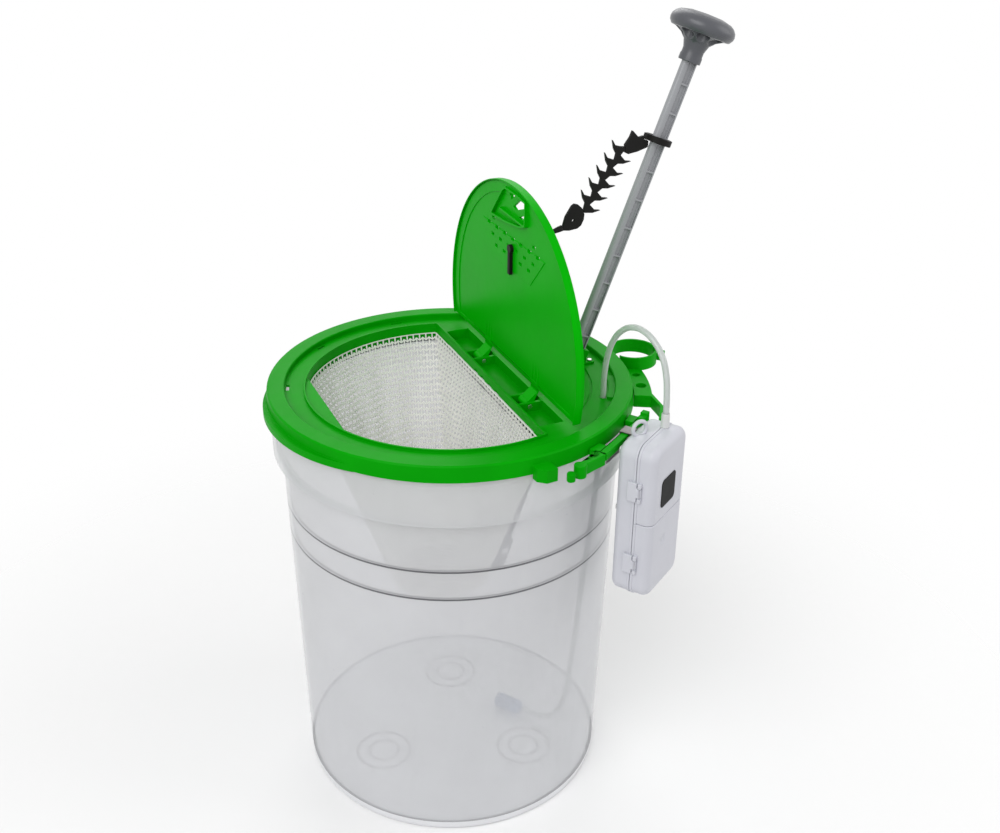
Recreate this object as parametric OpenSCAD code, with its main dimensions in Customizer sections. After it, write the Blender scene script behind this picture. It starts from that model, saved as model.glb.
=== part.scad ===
// Aerated bait bucket: a pail with a lift net, a flap door and a clip-on air pump.
// Millimetres. The origin is the middle of the pail's underside, +Z is up,
// and the closed door lies towards -X from its hinge.

/* [Bucket] */
// Height of the bucket's rim above its underside
bucket_h = 374.8; // [360:0.1:400]
// Outer radius of the body at the floor
body_r_low = 134.7; // [130:0.1:136]
// Outer radius of the body just below the collar
body_r_high = 143.4; // [140:0.1:145]
// Outer radius of the collar at the rim
collar_r = 151.4; // [150:0.1:153]
// Height at which the collar steps out
collar_z = 322.7; // [300:0.1:340]
// Wall of the bucket
bucket_wall = 2.5; // [2:0.1:3]
// Height of the inside floor
floor_z = 7.7; // [6:0.1:12]
// Thickness of the floor
floor_t = 2.5; // [2:0.1:4]
// Radius of the centre pad that touches the ground
pad_r = 30; // [20:1:40]
// Radius of the circle that the three floor rings stand on
ring_circle_r = 76; // [70:1:84]
// Outer radius of the larger floor ring
floor_ring_r = 25; // [20:1:28]
// Outer radius of the smaller floor ring
floor_ring_small_r = 14; // [10:1:16]
// Height of the floor rings
floor_ring_h = 0.8; // [0.4:0.1:1.2]

/* [Lid] */
// Height of the lid's flat rim above the bucket's rim
lid_rise = 2.5; // [2:0.1:4]
// Outer radius of the lid's skirt at its lower edge
skirt_r = 154; // [153.8:0.1:156]
// Outer radius of the lid's flat rim
rim_r = 152.6; // [152.2:0.1:153.4]
// Depth of the skirt
skirt_h = 13.5; // [10:0.1:20]
// Wall of the lid's skirt and ribs
lid_wall = 2.2; // [1.8:0.1:2.3]
// Inner radius of the flat rim
rim_inner_r = 138; // [136:0.1:140]
// Depth of the deck below the rim
deck_drop = 4.8; // [4:0.1:6]
// Thickness of the deck
deck_t = 2.2; // [1.8:0.1:3]
// Number of drain slots round the deck
slot_count = 10; // [6:1:14]
// Length of a drain slot
slot_l = 10; // [6:1:14]
// Width of a drain slot
slot_w = 2.6; // [2:0.1:4]
// Reach of the prying lip past the skirt
pry_reach = 5; // [3:0.1:8]
// Height of the prying lip
pry_h = 6; // [4:0.1:8]

/* [Window and door] */
// Radius of the window
window_r = 121; // [116:0.1:122]
// Distance from the middle to the window's edge at the hinge
window_hinge_x = 32.5; // [24:0.5:33]
// Distance from the middle to the window's far edge
window_far_x = 108.5; // [95:0.5:112]
// Wall of the lip round the window
lip_t = 1.6; // [1.4:0.1:1.8]
// Height of the window's lip above the deck
lip_h = 2.4; // [1.5:0.1:3]
// Height of the window's straight wall beside the hinge
chord_h = 7.5; // [6:0.1:9]
// Outer radius of the door
door_r = 127.4; // [127.4:0.1:128.6]
// Offset of the door's round edge towards the hinge
door_x = 3.7; // [3.2:0.1:3.9]
// Thickness of the door's plate
door_t = 2.5; // [2:0.1:3.5]
// Height of the raised border round the door's upper side
bead_h = 1.9; // [1:0.1:2.8]
// Width of each of the two steps in the door's border
bead_w = 5.5; // [4:0.5:7]
// Distance from the middle to the door's straight edge
door_edge_x = 33.5; // [33:0.5:34]
// Angle at which the door stands open
door_open = 90; // [60:0.5:90]
// Distance of the strap hole from the hinge axis
strap_hole_u = 116.5; // [112:0.5:120]
// Radius of the strap hole
strap_hole_r = 2.6; // [2:0.1:4]
// Spacing of the vent slots along a row
vent_pitch = 16; // [12:1:16]
// Spacing of the vent rows
vent_row = 8; // [7:0.5:9]
// Length of a vent slot
vent_l = 5.5; // [4:0.5:8]
// Width of a vent slot
vent_w = 2.6; // [2:0.1:3.5]

/* [Hinge] */
// Distance from the middle to the hinge axis
hinge_x = 47; // [46.5:0.1:47.5]
// Height of the door's underside above the hinge axis when it is shut
hinge_drop = 8.5; // [8.2:0.1:8.8]
// Radius of the hinge pins
hinge_pin_r = 2; // [1.5:0.05:2.4]
// Running clearance round a pin, on the radius
pin_clear = 0.06; // [0.02:0.01:0.09]
// Distance of each knuckle from the middle
knuckle_y = 48; // [40:1:56]
// Width of a knuckle
knuckle_w = 13; // [10:0.5:16]
// Outer radius of a knuckle
knuckle_r = 3.8; // [3.6:0.1:4]
// Side clearance of a knuckle between its ears
knuckle_side = 0.4; // [0.2:0.1:0.8]
// Thickness of an ear
ear_t = 3.2; // [2.5:0.1:4]
// Half length of the hinge trough
trough_y = 100; // [85:1:104]
// Distance from the middle to the trough's far side
trough_x = 57; // [56:0.5:60]
// Depth of the trough below the deck
trough_depth = 9.4; // [9.4:0.1:10]

/* [Lift rod] */
// Lean of the rod from upright
rod_lean = 20.9; // [19:0.1:21]
// Distance from the middle to the rod at deck height
rod_x = 113.8; // [113:0.1:116]
// Width of the rod
rod_w = 12.8; // [11:0.1:13.2]
// Depth of the rod
rod_d = 7; // [6:0.1:8]
// Thickness of the rod's middle web
rod_web = 2; // [1.5:0.1:3]
// Thickness of the rod's edge flange
rod_flange = 1.4; // [1:0.1:2]
// Spacing of the rod's cross ribs
rod_pitch = 25; // [20:1:34]
// Thickness of a cross rib
rod_rib = 1.6; // [1:0.1:2.4]
// Length of rod above the deck, to its top end
rod_above = 298; // [270:1:300]
// Length of rod below the deck, to its lower end
rod_below = 198; // [190:1:199]
// Clearance between the rod and its guide
guide_clear = 0.4; // [0.2:0.05:0.6]
// Wall of the guide
guide_wall = 2.6; // [2:0.1:3]
// Length of the guide above the deck
guide_h = 14; // [8:1:20]
// Radius of the knob's disc
knob_r = 27.5; // [24:0.5:34]
// Height of the knob's dome
knob_t = 11.5; // [8:0.5:14]
// Radius of the knob's neck
knob_neck_r = 9.4; // [9.4:0.1:12]
// Length of the knob below its disc
knob_neck_h = 28; // [20:1:34]

/* [Net] */
// Radius of the plate at the net's bottom
foot_r = 40; // [32:1:44]
// Distance of that plate's middle from the rod's foot
foot_reach = 54.5; // [52:0.5:58]
// Thickness of the foot plate
foot_t = 3; // [2:0.1:5]
// Thickness of the net
net_t = 1; // [0.8:0.1:1.2]
// Gap between the net and what it is tied to
net_gap = 0.3; // [0.2:0.05:0.5]
// Height of the frame that the net hangs from
frame_h = 3; // [2:0.5:5]
// Width of the frame
frame_w = 4; // [3:0.5:5]
// Radius of the pin through the foot plate's socket
foot_pin_r = 2; // [1.5:0.1:2.5]

/* [Strap] */
// Distance of the strap's collar above the deck, along the rod
collar_w = 201.7; // [180:1:230]
// Outer radius of the strap's collar
collar_ring_r = 11.5; // [10.5:0.1:14]
// Thickness of the rubber
strap_t = 3.2; // [2.5:0.1:5]
// Width of the zigzag, from tip to tip
zigzag_w = 26; // [20:1:28]
// Number of zigzag points on one side
zigzag_count = 5; // [3:1:7]
// Half width of the zigzag's band
zigzag_bar = 3; // [2:0.1:4]
// Radius of the hole in the lower paddle
paddle_hole_r = 1.1; // [1:0.1:3]
// Length of the tail below the door
tail_l = 22; // [14:1:26]

/* [Tool holder] */
// Inner radius of the spring ring
tool_ring_r = 19; // [15:0.5:20]
// Wall of the spring ring
tool_ring_wall = 2.4; // [2:0.1:3]
// Height of the spring ring
tool_ring_h = 12; // [8:0.5:12]
// Distance from the middle to the spring ring
tool_ring_x = 171; // [170:0.5:173]
// Offset of the spring ring across the hinge
tool_ring_y = -6; // [-8:0.5:-5]
// Reach of the tool block past the skirt
tool_block_reach = 15.5; // [13:0.5:17]
// Height of the tool block
tool_block_h = 11; // [8:0.5:12]
// Radius of the small tool hole
tool_hole_r = 3.4; // [2.5:0.1:4]
// Radius of the large tool hole
tool_hole_big_r = 4.4; // [3:0.1:5]

/* [Pump hanger] */
// Direction that the pump faces, from +X
pump_az = -55; // [-60:1:-50]
// Gap between the skirt and the hanger's bar
hanger_gap = 6; // [5:0.5:8]
// Thickness of the bar
hanger_t = 6; // [5:0.5:7]
// Height of the bar
hanger_h = 6.5; // [5:0.5:8]
// Length of the bar from its middle to its free end
hanger_half = 40; // [38:1:48]
// Length of the bar from its middle to its bend
hanger_bend = 36; // [35:1:40]
// Distance of each boss from the bar's middle
hanger_boss_y = 28.5; // [24:0.5:32]
// Width of a boss
hanger_boss_w = 12; // [8:0.5:14]

/* [Air pump] */
// Width of the pump
pump_w = 60; // [60:1:66]
// Depth of the pump
pump_d = 33; // [33:0.5:36]
// Height of the pump
pump_h = 135.5; // [135:0.5:150]
// Height of the pump's top below the lid's rim
pump_drop = 2.8; // [1:0.1:6]
// Offset of the pump along the bar
pump_off = 6.5; // [5:0.5:8]
// Depth of the rear shell
pump_rear_d = 17.5; // [17:0.5:18]
// Height of the battery cover
battery_cover_h = 69; // [68:0.5:70]
// Wall of the pump's case
pump_wall = 2; // [1.6:0.1:2.2]
// Radius of the case's corners
pump_corner = 11; // [8:0.5:12]
// Gap between two parts of the case
case_gap = 0.4; // [0.3:0.05:0.6]
// Diameter of a battery cell
cell_dia = 26.2; // [25:0.1:26.4]
// Length of a battery cell
cell_l = 50; // [48:0.5:51]
// Radius of the pin that the battery cover swings on
cover_pin_r = 1.2; // [1:0.05:1.4]
// Height of a side latch
latch_h = 17; // [14:0.5:20]
// Width of a side latch's plate
latch_w = 8.2; // [7:0.1:9]
// Thickness of a side latch
latch_t = 3; // [2.6:0.1:3.6]
// Radius of the motor
motor_r = 10; // [8:0.5:11]
// Length of the motor
motor_l = 25; // [20:1:28]
// Radius of the eccentric
eccentric_r = 5.5; // [4:0.5:6]
// Offset of the eccentric from the motor's shaft
eccentric_off = 1; // [0.5:0.1:1.5]
// Radius of the switch button
button_r = 4.2; // [3.5:0.1:4.4]
// Travel of the switch button
button_travel = 1.5; // [1:0.1:2]
// Thickness of the belt clip's steel
clip_t = 1.2; // [0.8:0.1:1.4]

/* [Air hose] */
// Outer diameter of the hose
hose_od = 5; // [4:0.1:5.2]
// Number of sides that the hose's tube has
hose_sides = 10; // [8:1:12]
// Radius of the air stone
stone_r = 7; // [5:0.5:9]
// Length of the air stone
stone_l = 26; // [18:1:34]

/* [Hidden] */
$fn = 96;
eps = 0.01;
fine = 0.1;

// Heights that follow from the bucket
lid_top = bucket_h + lid_rise;
skirt_z = lid_top - skirt_h;
deck_z = lid_top - deck_drop;
deck_under = deck_z - deck_t;
lip_top = deck_z + lip_h;
trough_floor = deck_z - trough_depth;
lip_low = trough_floor - lid_wall;
chord_low = lip_top - chord_h;

// The lip's wall, and the rings that stand round it
lip_r = window_r + lip_t;
frame_top = trough_floor - lid_wall - 0.3;
frame_low = frame_top - frame_h;
net_high = frame_low - net_gap;
hose_hole_clear = 0.25;
mouth_x = -40;

// The door when it is shut, and its hinge
door_under = deck_z + 3.5;
hinge_z = door_under - hinge_drop;
door_top = door_under + door_t;
door_skirt_w = 0.9;
border_drop = door_under - lip_top - 0.3;
door_skirt_z = deck_z + 0.7;
ear_top = hinge_z + 3.6;
latch_holes_at = [[[-45.7, 5.9], [-47.1, -6.2], [-39.8, 4.7]],
    [[-44.1, -11.2], [-44.6, -23.1], [-39.8, -20.9], [-33.7, -4.4], [-35.4, 0.5]],
    [[-29.3, -10.4], [-35.1, -22.1], [-29.7, -21.5]]];

// The rod, in its own leaning frame with w along the rod
rod_spine_r = rod_d / 2;
guide_w = rod_w + 2 * guide_clear;
guide_d = rod_d + 2 * guide_clear;
foot_w = 0.1 - rod_below;
foot_z = deck_z + foot_w * cos(rod_lean) - foot_t;
foot_pin_w = foot_w + 12;
socket_x = rod_x + foot_w * sin(rod_lean);
foot_x = socket_x - foot_reach;
knob_w = rod_above - 2;

// The pump, in the frame of its hanger with x pointing outwards
bar_x = skirt_r + hanger_gap;
bar_top = lid_top - 7.3;
pump_x = bar_x + hanger_t + 3;
pump_top = lid_top - pump_drop;
pump_low = pump_top - pump_h;
part_x = pump_x + pump_rear_d;
pump_front = pump_x + pump_d;
pump_left = pump_off - pump_w / 2;
pump_right = pump_off + pump_w / 2;
seam_z = pump_low + battery_cover_h;
cover_axis_y = pump_right + cover_pin_r + 1.6;
cover_knuckle_r = cover_pin_r + 1.2;
nozzle_x = pump_x + 19.15;
nozzle_y = pump_off + 13.75;
nozzle_r = 1.6;
sleeve_r = hose_od / 2 + 0.9;
hose_start = 3.5;
latch_x = part_x + 1.7 - latch_w;
latch_upper_z = pump_low + 89.5;
latch_lower_z = pump_low + 23.5;
latch_pin_r = 1;
motor_z = seam_z + 17;
motor_x = pump_x + 16;
motor_y = pump_off - 24;
eccentric_w = 5;
arm_t = 2.5;
arm_gap = 0.3;
chamber_z = motor_z + 14.5;
chamber_l = 22;
chamber_h = 10;
cell_x = pump_x + pump_d / 2;
cell_z = pump_low + 8.6;
cell_y = cell_dia / 2 + 0.15;
switch_x = (part_x + pump_front) / 2 - 0.4;
switch_z = pump_top - 17;
seal_t = 0.9;

// The hose's route: out of the pump, over, through the deck and down to the floor
hose_route = [[124.5, -142.5, 378], [124.5, -142.5, 392], [124.3, -142, 404],
    [123.8, -140, 418], [122.5, -135, 431], [120, -125.5, 441], [116.8, -113.5, 446],
    [113.6, -101.5, 445], [110.8, -90, 438], [108.6, -81, 426], [107.2, -75.5, 411],
    [106.5, -73, 394], [106.4, -72.9, 378], [106.4, -72.9, 362], [106.4, -72.9, 340],
    [105.8, -72.4, 310], [103.8, -71, 270], [101, -69, 225], [98, -67, 180],
    [95.5, -65, 135], [93.5, -62.5, 95], [91.5, -59, 62], [88.5, -53, 38],
    [84, -45, 23], [78, -36, 16.5], [72, -27.5, 15.2], [66, -19, 15.2]];
hose_hole = [106.4, -72.9];
hose_steps = 3;

// Where the strap's joints lie, and its outlines, seen along the hinge as [x, z]
collar_at = [rod_x + collar_w * sin(rod_lean), deck_z + collar_w * cos(rod_lean)];
strap_pivot = collar_at + [-9.8, -0.4];
hole_x = hinge_x + (hinge_drop + door_t) * sin(door_open) - strap_hole_u * cos(door_open);
hole_z = hinge_z + strap_hole_u * sin(door_open) + (hinge_drop + door_t) * cos(door_open);
strap_end = [hole_x + 3, hole_z + 1];
strap_low = strap_end + [39.7, 10.6];
strap_bend = strap_low + [18.5, 12.5];
zigzag_top = strap_pivot + [-23.7, -4];
zigzag_low = strap_bend;
strap_neck_gap = 2.2;
strap_joint = 0.3;
upper_paddle = [[-0.1, -2.5], [-0.1, 1], [-3.9, 2.5], [-4.6, 5.6], [-8.6, 4.9], [-10, 5.5], [-15.2, 10.9],
    [-17.5, 5.5], [-21.8, -0.3], [-21.4, -6.9], [-18.4, -8.3], [-10, -7.1], [-0.6, -4.3]];
lower_paddle = [[-1.4, -0.8], [1.5, 9.5], [6.9, 18], [9.5, 19.7], [13, 18.6], [16.4, 15.5], [18.8, 10],
    [18.4, 5.5], [16, 0.5], [12.5, -1.8], [5, -2.6], [-0.2, -1.9]];

// A ring about Z
module ring(r_out, r_in, z0, h) {
    translate([0, 0, z0])
    difference() {
        cylinder(r = r_out, h = h);
        translate([0, 0, -1]) cylinder(r = r_in, h = h + 2);
    }
}

// A box from one corner to the other
module span(low, high) {
    translate(low) cube(high - low);
}

// A flat rounded rectangle, centred across and standing on its lower edge
module rounded(w, h, r) {
    translate([-w / 2 + r, 0]) square([w - 2 * r, h]);
    translate([-w / 2, r]) square([w, h - 2 * r]);
    for (x = [-w / 2 + r, w / 2 - r], y = [r, h - r])
        translate([x, y]) circle(r = r);
}

// Turns a flat shape so that it faces along X, with its height along Z
module facing_x(x, depth) {
    translate([x, 0, 0]) rotate([90, 0, 90]) linear_extrude(depth) children();
}

// Turns a flat shape in X and Z into a slab across Y
module across(y, width) {
    translate([0, y + width, 0]) rotate([90, 0, 0]) linear_extrude(width) children();
}

// The leaning frame of the rod
module on_rod() {
    translate([rod_x, 0, deck_z]) rotate([0, rod_lean, 0]) children();
}

// The frame of the pump and its hanger
module at_pump() {
    rotate([0, 0, pump_az]) children();
}

// The door's frame: drawn shut, then swung open about its hinge
module door_frame() {
    translate([hinge_x, 0, hinge_z]) rotate([0, door_open, 0])
    translate([-hinge_x, 0, -hinge_z]) children();
}

// The bucket
module bucket_shell() {
    color("whitesmoke")
    union() {
        rotate_extrude($fn = 128) polygon([[0, floor_z - floor_t], [body_r_low - 14, floor_z - floor_t],
            [body_r_low - 12.5, 0], [body_r_low - 3.2, 0], [body_r_low - 1.2, 1.2], [body_r_low - 0.2, 3.6],
            [body_r_low, 7],
            [body_r_high, collar_z - 2], [collar_r - 0.8, collar_z], [collar_r, bucket_h],
            [collar_r - bucket_wall, bucket_h], [collar_r - bucket_wall - 0.8, collar_z + 2],
            [body_r_high - bucket_wall, collar_z], [body_r_low - bucket_wall, floor_z],
            [0, floor_z]]);
        cylinder(r = pad_r, h = floor_z - floor_t + eps);
        for (turn = [70, 190, 310]) rotate([0, 0, turn]) translate([ring_circle_r, 0, 0]) {
            ring(floor_ring_r, floor_ring_r - 1.2, floor_z - eps, floor_ring_h);
            ring(floor_ring_small_r, floor_ring_small_r - 1.2, floor_z - eps, floor_ring_h);
        }
    }
}

// The part of a disc that lies over the window
module window_shape(r, hinge_side, far_side) {
    intersection() {
        circle(r = r, $fn = 128);
        translate([-far_side, -r]) square([far_side + hinge_side, 2 * r]);
    }
}

// The lid: skirt, flat rim, deck with its window, hinge trough, slots and lugs
module lid_ring() {
    color("green")
    difference() {
        union() {
            rotate_extrude($fn = 128) polygon([[skirt_r - lid_wall, skirt_z], [skirt_r, skirt_z],
                [rim_r, lid_top - 1.2], [rim_r - 1.2, lid_top], [rim_inner_r + 0.8, lid_top],
                [rim_inner_r, lid_top - 0.8], [rim_inner_r, deck_under - 0.2],
                [rim_inner_r + lid_wall, deck_under - 0.2],
                [rim_inner_r + lid_wall, bucket_h], [skirt_r - lid_wall - 0.2, bucket_h]]);
            difference() {
                translate([0, 0, deck_under]) cylinder(r = rim_inner_r + 1, h = deck_t, $fn = 128);
                translate([0, 0, deck_under - 1]) linear_extrude(deck_t + 2)
                    window_shape(window_r, window_hinge_x, window_far_x);
            }
            translate([0, 0, lip_low]) linear_extrude(deck_under - lip_low + eps)
            difference() {
                window_shape(lip_r, window_hinge_x + lip_t, window_far_x + lip_t);
                window_shape(window_r, window_hinge_x, window_far_x);
            }
            translate([0, 0, deck_under]) linear_extrude(lip_top - deck_under)
            difference() {
                window_shape(lip_r, window_hinge_x + lip_t, lip_r + 1);
                window_shape(window_r, window_hinge_x, window_r);
            }
            span([window_hinge_x + eps, -trough_y - lid_wall, lip_low],
                [trough_x + lid_wall, trough_y + lid_wall, deck_under + eps]);
            pry_lip();
            side_lug();
            hose_pad();
        }
        difference() {
            across(-trough_y, 2 * trough_y) polygon([[window_hinge_x + lip_t, deck_z + 3],
                [window_hinge_x + lip_t, trough_floor + 5.4], [window_hinge_x + lip_t + 5, trough_floor],
                [trough_x, trough_floor], [trough_x, deck_z + 3]]);
            for (side = [-1, 1], edge = [-1, 1])
                translate([0, side * knuckle_y + edge * (knuckle_w / 2 + knuckle_side + ear_t / 2), 0])
                span([window_hinge_x, -ear_t / 2, trough_floor - 1], [trough_x + 1, ear_t / 2, ear_top]);
        }
        for (side = [-1, 1], edge = [-1, 1])
            translate([0, side * knuckle_y + edge * (knuckle_w / 2 + knuckle_side + ear_t / 2), 0])
            span([hinge_x + knuckle_r + 1, -ear_t, deck_z], [trough_x + 1, ear_t, ear_top + 1]);
        for (side = [-1, 1]) translate([hinge_x, side * knuckle_y, hinge_z]) rotate([90, 0, 0])
            cylinder(r = hinge_pin_r + pin_clear, h = hinge_pin_l() + 1, center = true);
        for (i = [0 : slot_count - 1]) rotate([0, 0, 180 / slot_count + i * 360 / slot_count])
            span([rim_inner_r - 1 - slot_w, -slot_l / 2, deck_under - 1],
                [rim_inner_r - 1, slot_l / 2, deck_z + 1]);
        translate([hose_hole.x, hose_hole.y, deck_under - 1])
            cylinder(r = hose_od / 2 + hose_hole_clear, h = deck_t + 2);
        on_rod() span([-guide_outer_w() / 2 - fine, -guide_outer_d() / 2 - fine, -20],
            [guide_outer_w() / 2 + fine, guide_outer_d() / 2 + fine, 10]);
        deck_groove();
        chord_cut();
    }
}

// Cuts the straight wall short, slanting back under the trough, with a wavy lower edge
module chord_cut() {
    across(-trough_y + 4, 2 * trough_y - 8) polygon([[window_hinge_x - 1, lip_low - 1],
        [window_hinge_x + 7.6, lip_low - 1], [window_hinge_x + 6.2, lip_low],
        [window_hinge_x + 0.4, chord_low - 1.4], [window_hinge_x - 1, chord_low - 1.4]]);
    for (i = [-2 : 1]) translate([window_hinge_x - 1, (i + 0.5) * 15, chord_low - 2.6]) rotate([0, 90, 0])
        cylinder(r = 4, h = lip_t + 0.6);
}

// The lip under the skirt that a thumb pries up
module pry_lip() {
    pry_r = 125;
    difference() {
        rotate([0, 0, 189]) translate([skirt_r + pry_reach - pry_r, 0, skirt_z - 1])
            cylinder(r = pry_r, h = pry_h);
        translate([0, 0, skirt_z - 2]) cylinder(r = skirt_r - lid_wall / 2, h = pry_h + 4, $fn = 128);
    }
}

// The lug on the skirt that the hanger's curved end faces
module side_lug() {
    rotate([0, 0, -85])
    difference() {
        span([skirt_r - lid_wall / 2, -8, skirt_z - 4], [skirt_r + 11, 7, skirt_z + 7]);
        translate([skirt_r + 11, -8, skirt_z - 5]) rotate([0, 0, 45]) cube([8, 8, 30], center = true);
    }
}

// The low pad beside the hose hole
module hose_pad() {
    intersection() {
        ring(rim_inner_r + 0.5, rim_inner_r - 5.5, deck_under, deck_t + 2);
        rotate([0, 0, -36]) cube([200, 42, 2000]);
    }
}

// The arc groove in the deck behind the hinge
module deck_groove() {
    intersection() {
        ring(119, 117, deck_z - 0.9, 3);
        span([trough_x + 6, -150, 0], [150, 150, 1000]);
    }
}

// Length of a hinge pin, over both of its ears
function hinge_pin_l() = knuckle_w + 2 * knuckle_side + 2 * ear_t;

// Outer size of the rod's guide
function guide_outer_w() = guide_w + 2 * guide_wall;
function guide_outer_d() = guide_d + 2 * guide_wall;

// The two pins of the door's hinge
module hinge_pins() {
    color("silver")
    for (side = [-1, 1]) translate([hinge_x, side * knuckle_y, hinge_z]) rotate([90, 0, 0])
        cylinder(r = hinge_pin_r, h = hinge_pin_l(), center = true);
}

// The window's outline at an angle from its middle, moved out by a margin
function mouth_r(turn, out) = let (c = cos(turn), b = mouth_x * c, r = window_r + out)
    min(-b + sqrt(b * b - mouth_x * mouth_x + r * r),
    c > 0.01 ? (window_hinge_x + out - mouth_x) / c : 1000,
    c < -0.01 ? (window_far_x + out + mouth_x) / -c : 1000);

// The frame that the net hangs from, under the window's wall
module net_frame() {
    color("gray")
    translate([0, 0, frame_low]) linear_extrude(frame_h)
    difference() {
        window_shape(window_r + frame_w, window_hinge_x + frame_w, window_far_x + frame_w);
        window_shape(window_r, window_hinge_x, window_far_x);
    }
}

// A point of the net: a share of the way down, at an angle, on its inner or outer side
function net_point(s, turn, out) = let (full = 7 * sin(180 * s) * (1 - s),
    reach = mouth_r(turn, frame_w / 2) * (1 - s) + (foot_r + net_gap) * s + full + out)
    [mouth_x * (1 - s) + foot_x * s + reach * cos(turn), reach * sin(turn),
    net_high * (1 - s) + foot_z * s];

// The net, from its frame down to the plate at its bottom
module net_bag() {
    sides = 60;
    rows = 9;
    skin = (rows + 1) * sides;
    points = [for (out = [0, net_t]) for (j = [0 : rows]) for (i = [0 : sides - 1])
        net_point(j < 1 ? 0 : j / rows, i * 360 / sides, out)];
    walls = [for (j = [0 : rows - 1]) for (i = [0 : sides - 1]) let (n = (i + 1) % sides)
        each [[j * sides + i, (j + 1) * sides + i, (j + 1) * sides + n, j * sides + n],
            [skin + j * sides + i, skin + j * sides + n, skin + (j + 1) * sides + n,
            skin + (j + 1) * sides + i]]];
    ends = [for (i = [0 : sides - 1]) let (n = (i + 1) % sides, b = rows * sides)
        each [[i, n, skin + n, skin + i], [b + i, skin + b + i, skin + b + n, b + n]]];
    faces = concat(walls, ends);
    tri = [for (f = faces) each [[f[0], f[1], f[2]], [f[0], f[2], f[3]]]];
    color("white") polyhedron(points, tri, convexity = 8);
}

// The guide that the rod slides in
module rod_guide() {
    color("green")
    difference() {
        union() {
            intersection() {
                on_rod() span([-guide_outer_w() / 2, -guide_outer_d() / 2, -9],
                    [guide_outer_w() / 2, guide_outer_d() / 2, guide_h]);
                span([0, -50, deck_under], [300, 50, 1000]);
            }
            span([rod_x - 14, -12, deck_z], [rod_x + 16, 12, deck_z + 2]);
        }
        on_rod() span([-guide_w / 2, -guide_d / 2, -20], [guide_w / 2, guide_d / 2, guide_h + 20]);
    }
}

// The spring ring, the block with two tool holes and the hooked arm
module tool_holder() {
    block_z = lid_top - 9.3;
    color("green")
    difference() {
        union() {
            translate([tool_ring_x, tool_ring_y, 0])
            difference() {
                ring(tool_ring_r + tool_ring_wall, tool_ring_r, lid_top - tool_ring_h, tool_ring_h);
                rotate([0, 0, -25]) span([0, -4, 0], [40, 4, 1000]);
            }
            translate([tool_ring_x, tool_ring_y, lid_top - tool_ring_h]) rotate([0, 0, -14])
                translate([tool_ring_r, 0, 0]) rotate([0, 0, -35]) cube([10, 2.4, tool_ring_h - 2]);
            intersection() {
                ring(skirt_r + tool_block_reach, skirt_r - 3, block_z - tool_block_h, tool_block_h);
                rotate([0, 0, -28]) span([100, 0, 0], [220, 52, 1000]);
                rotate([0, 0, -7]) span([100, -80, 0], [220, 0, 1000]);
            }
            tool_arm(block_z);
        }
        translate([0, 0, skirt_z - 20]) cylinder(r1 = skirt_r + 0.1, r2 = skirt_r + 0.1, h = 60, $fn = 128);
        for (hole = [[-13.4, tool_hole_r], [-21, tool_hole_big_r]]) rotate([0, 0, hole[0]])
            translate([skirt_r + 7.6, 0, block_z - 30]) cylinder(r = hole[1], h = 60);
    }
}

// The arm that runs on from the tool block, in two straight stretches
module tool_arm(block_z) {
    elbow = [148, -98];
    start = [151, -72];
    tip = [136, -117];
    for (pair = [[start, elbow], [elbow, tip]]) let (a = pair[0], b = pair[1], d = b - a)
        translate([a.x, a.y, block_z - tool_block_h]) rotate([0, 0, atan2(d.y, d.x)])
        translate([-1, -1.5, 0]) cube([norm(d) + 2, 3, tool_block_h]);
}

// The bar that the pump's clip hangs on, with its curved end
module pump_hanger() {
    hanger_tail = 25;
    color("green")
    difference() {
        at_pump() {
            span([bar_x, -hanger_bend, bar_top - hanger_h], [bar_x + hanger_t, hanger_half, bar_top]);
            for (side = [-1, 1])
                span([skirt_r - 20, side * hanger_boss_y - hanger_boss_w / 2, bar_top - 7],
                    [bar_x + 1, side * hanger_boss_y + hanger_boss_w / 2, bar_top - 0.5]);
            translate([bar_x, -hanger_bend, 0]) rotate([0, 0, -14]) {
                span([0, -hanger_tail, bar_top - hanger_h - 3], [hanger_t, 0.5, bar_top]);
                translate([hanger_t / 2, -hanger_tail, bar_top - hanger_h - 4])
                    cylinder(r = 5, h = hanger_h + 4);
                span([hanger_t / 2 - 1.6, -hanger_tail - 9, bar_top - hanger_h - 2],
                    [hanger_t / 2 + 1.6, -hanger_tail, bar_top - hanger_h + 1.4]);
                translate([hanger_t / 2, -hanger_tail - 10, bar_top - hanger_h - 4]) cylinder(r = 3.4, h = 7);
            }
            span([bar_x, hanger_half - 12, bar_top - eps], [bar_x + hanger_t, hanger_half, bar_top + 2]);
            span([bar_x, hanger_half - 6, bar_top + 1], [bar_x + hanger_t, hanger_half, bar_top + 4]);
        }
        translate([0, 0, skirt_z - 20]) cylinder(r = skirt_r + 0.1, h = 60, $fn = 128);
    }
}

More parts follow.
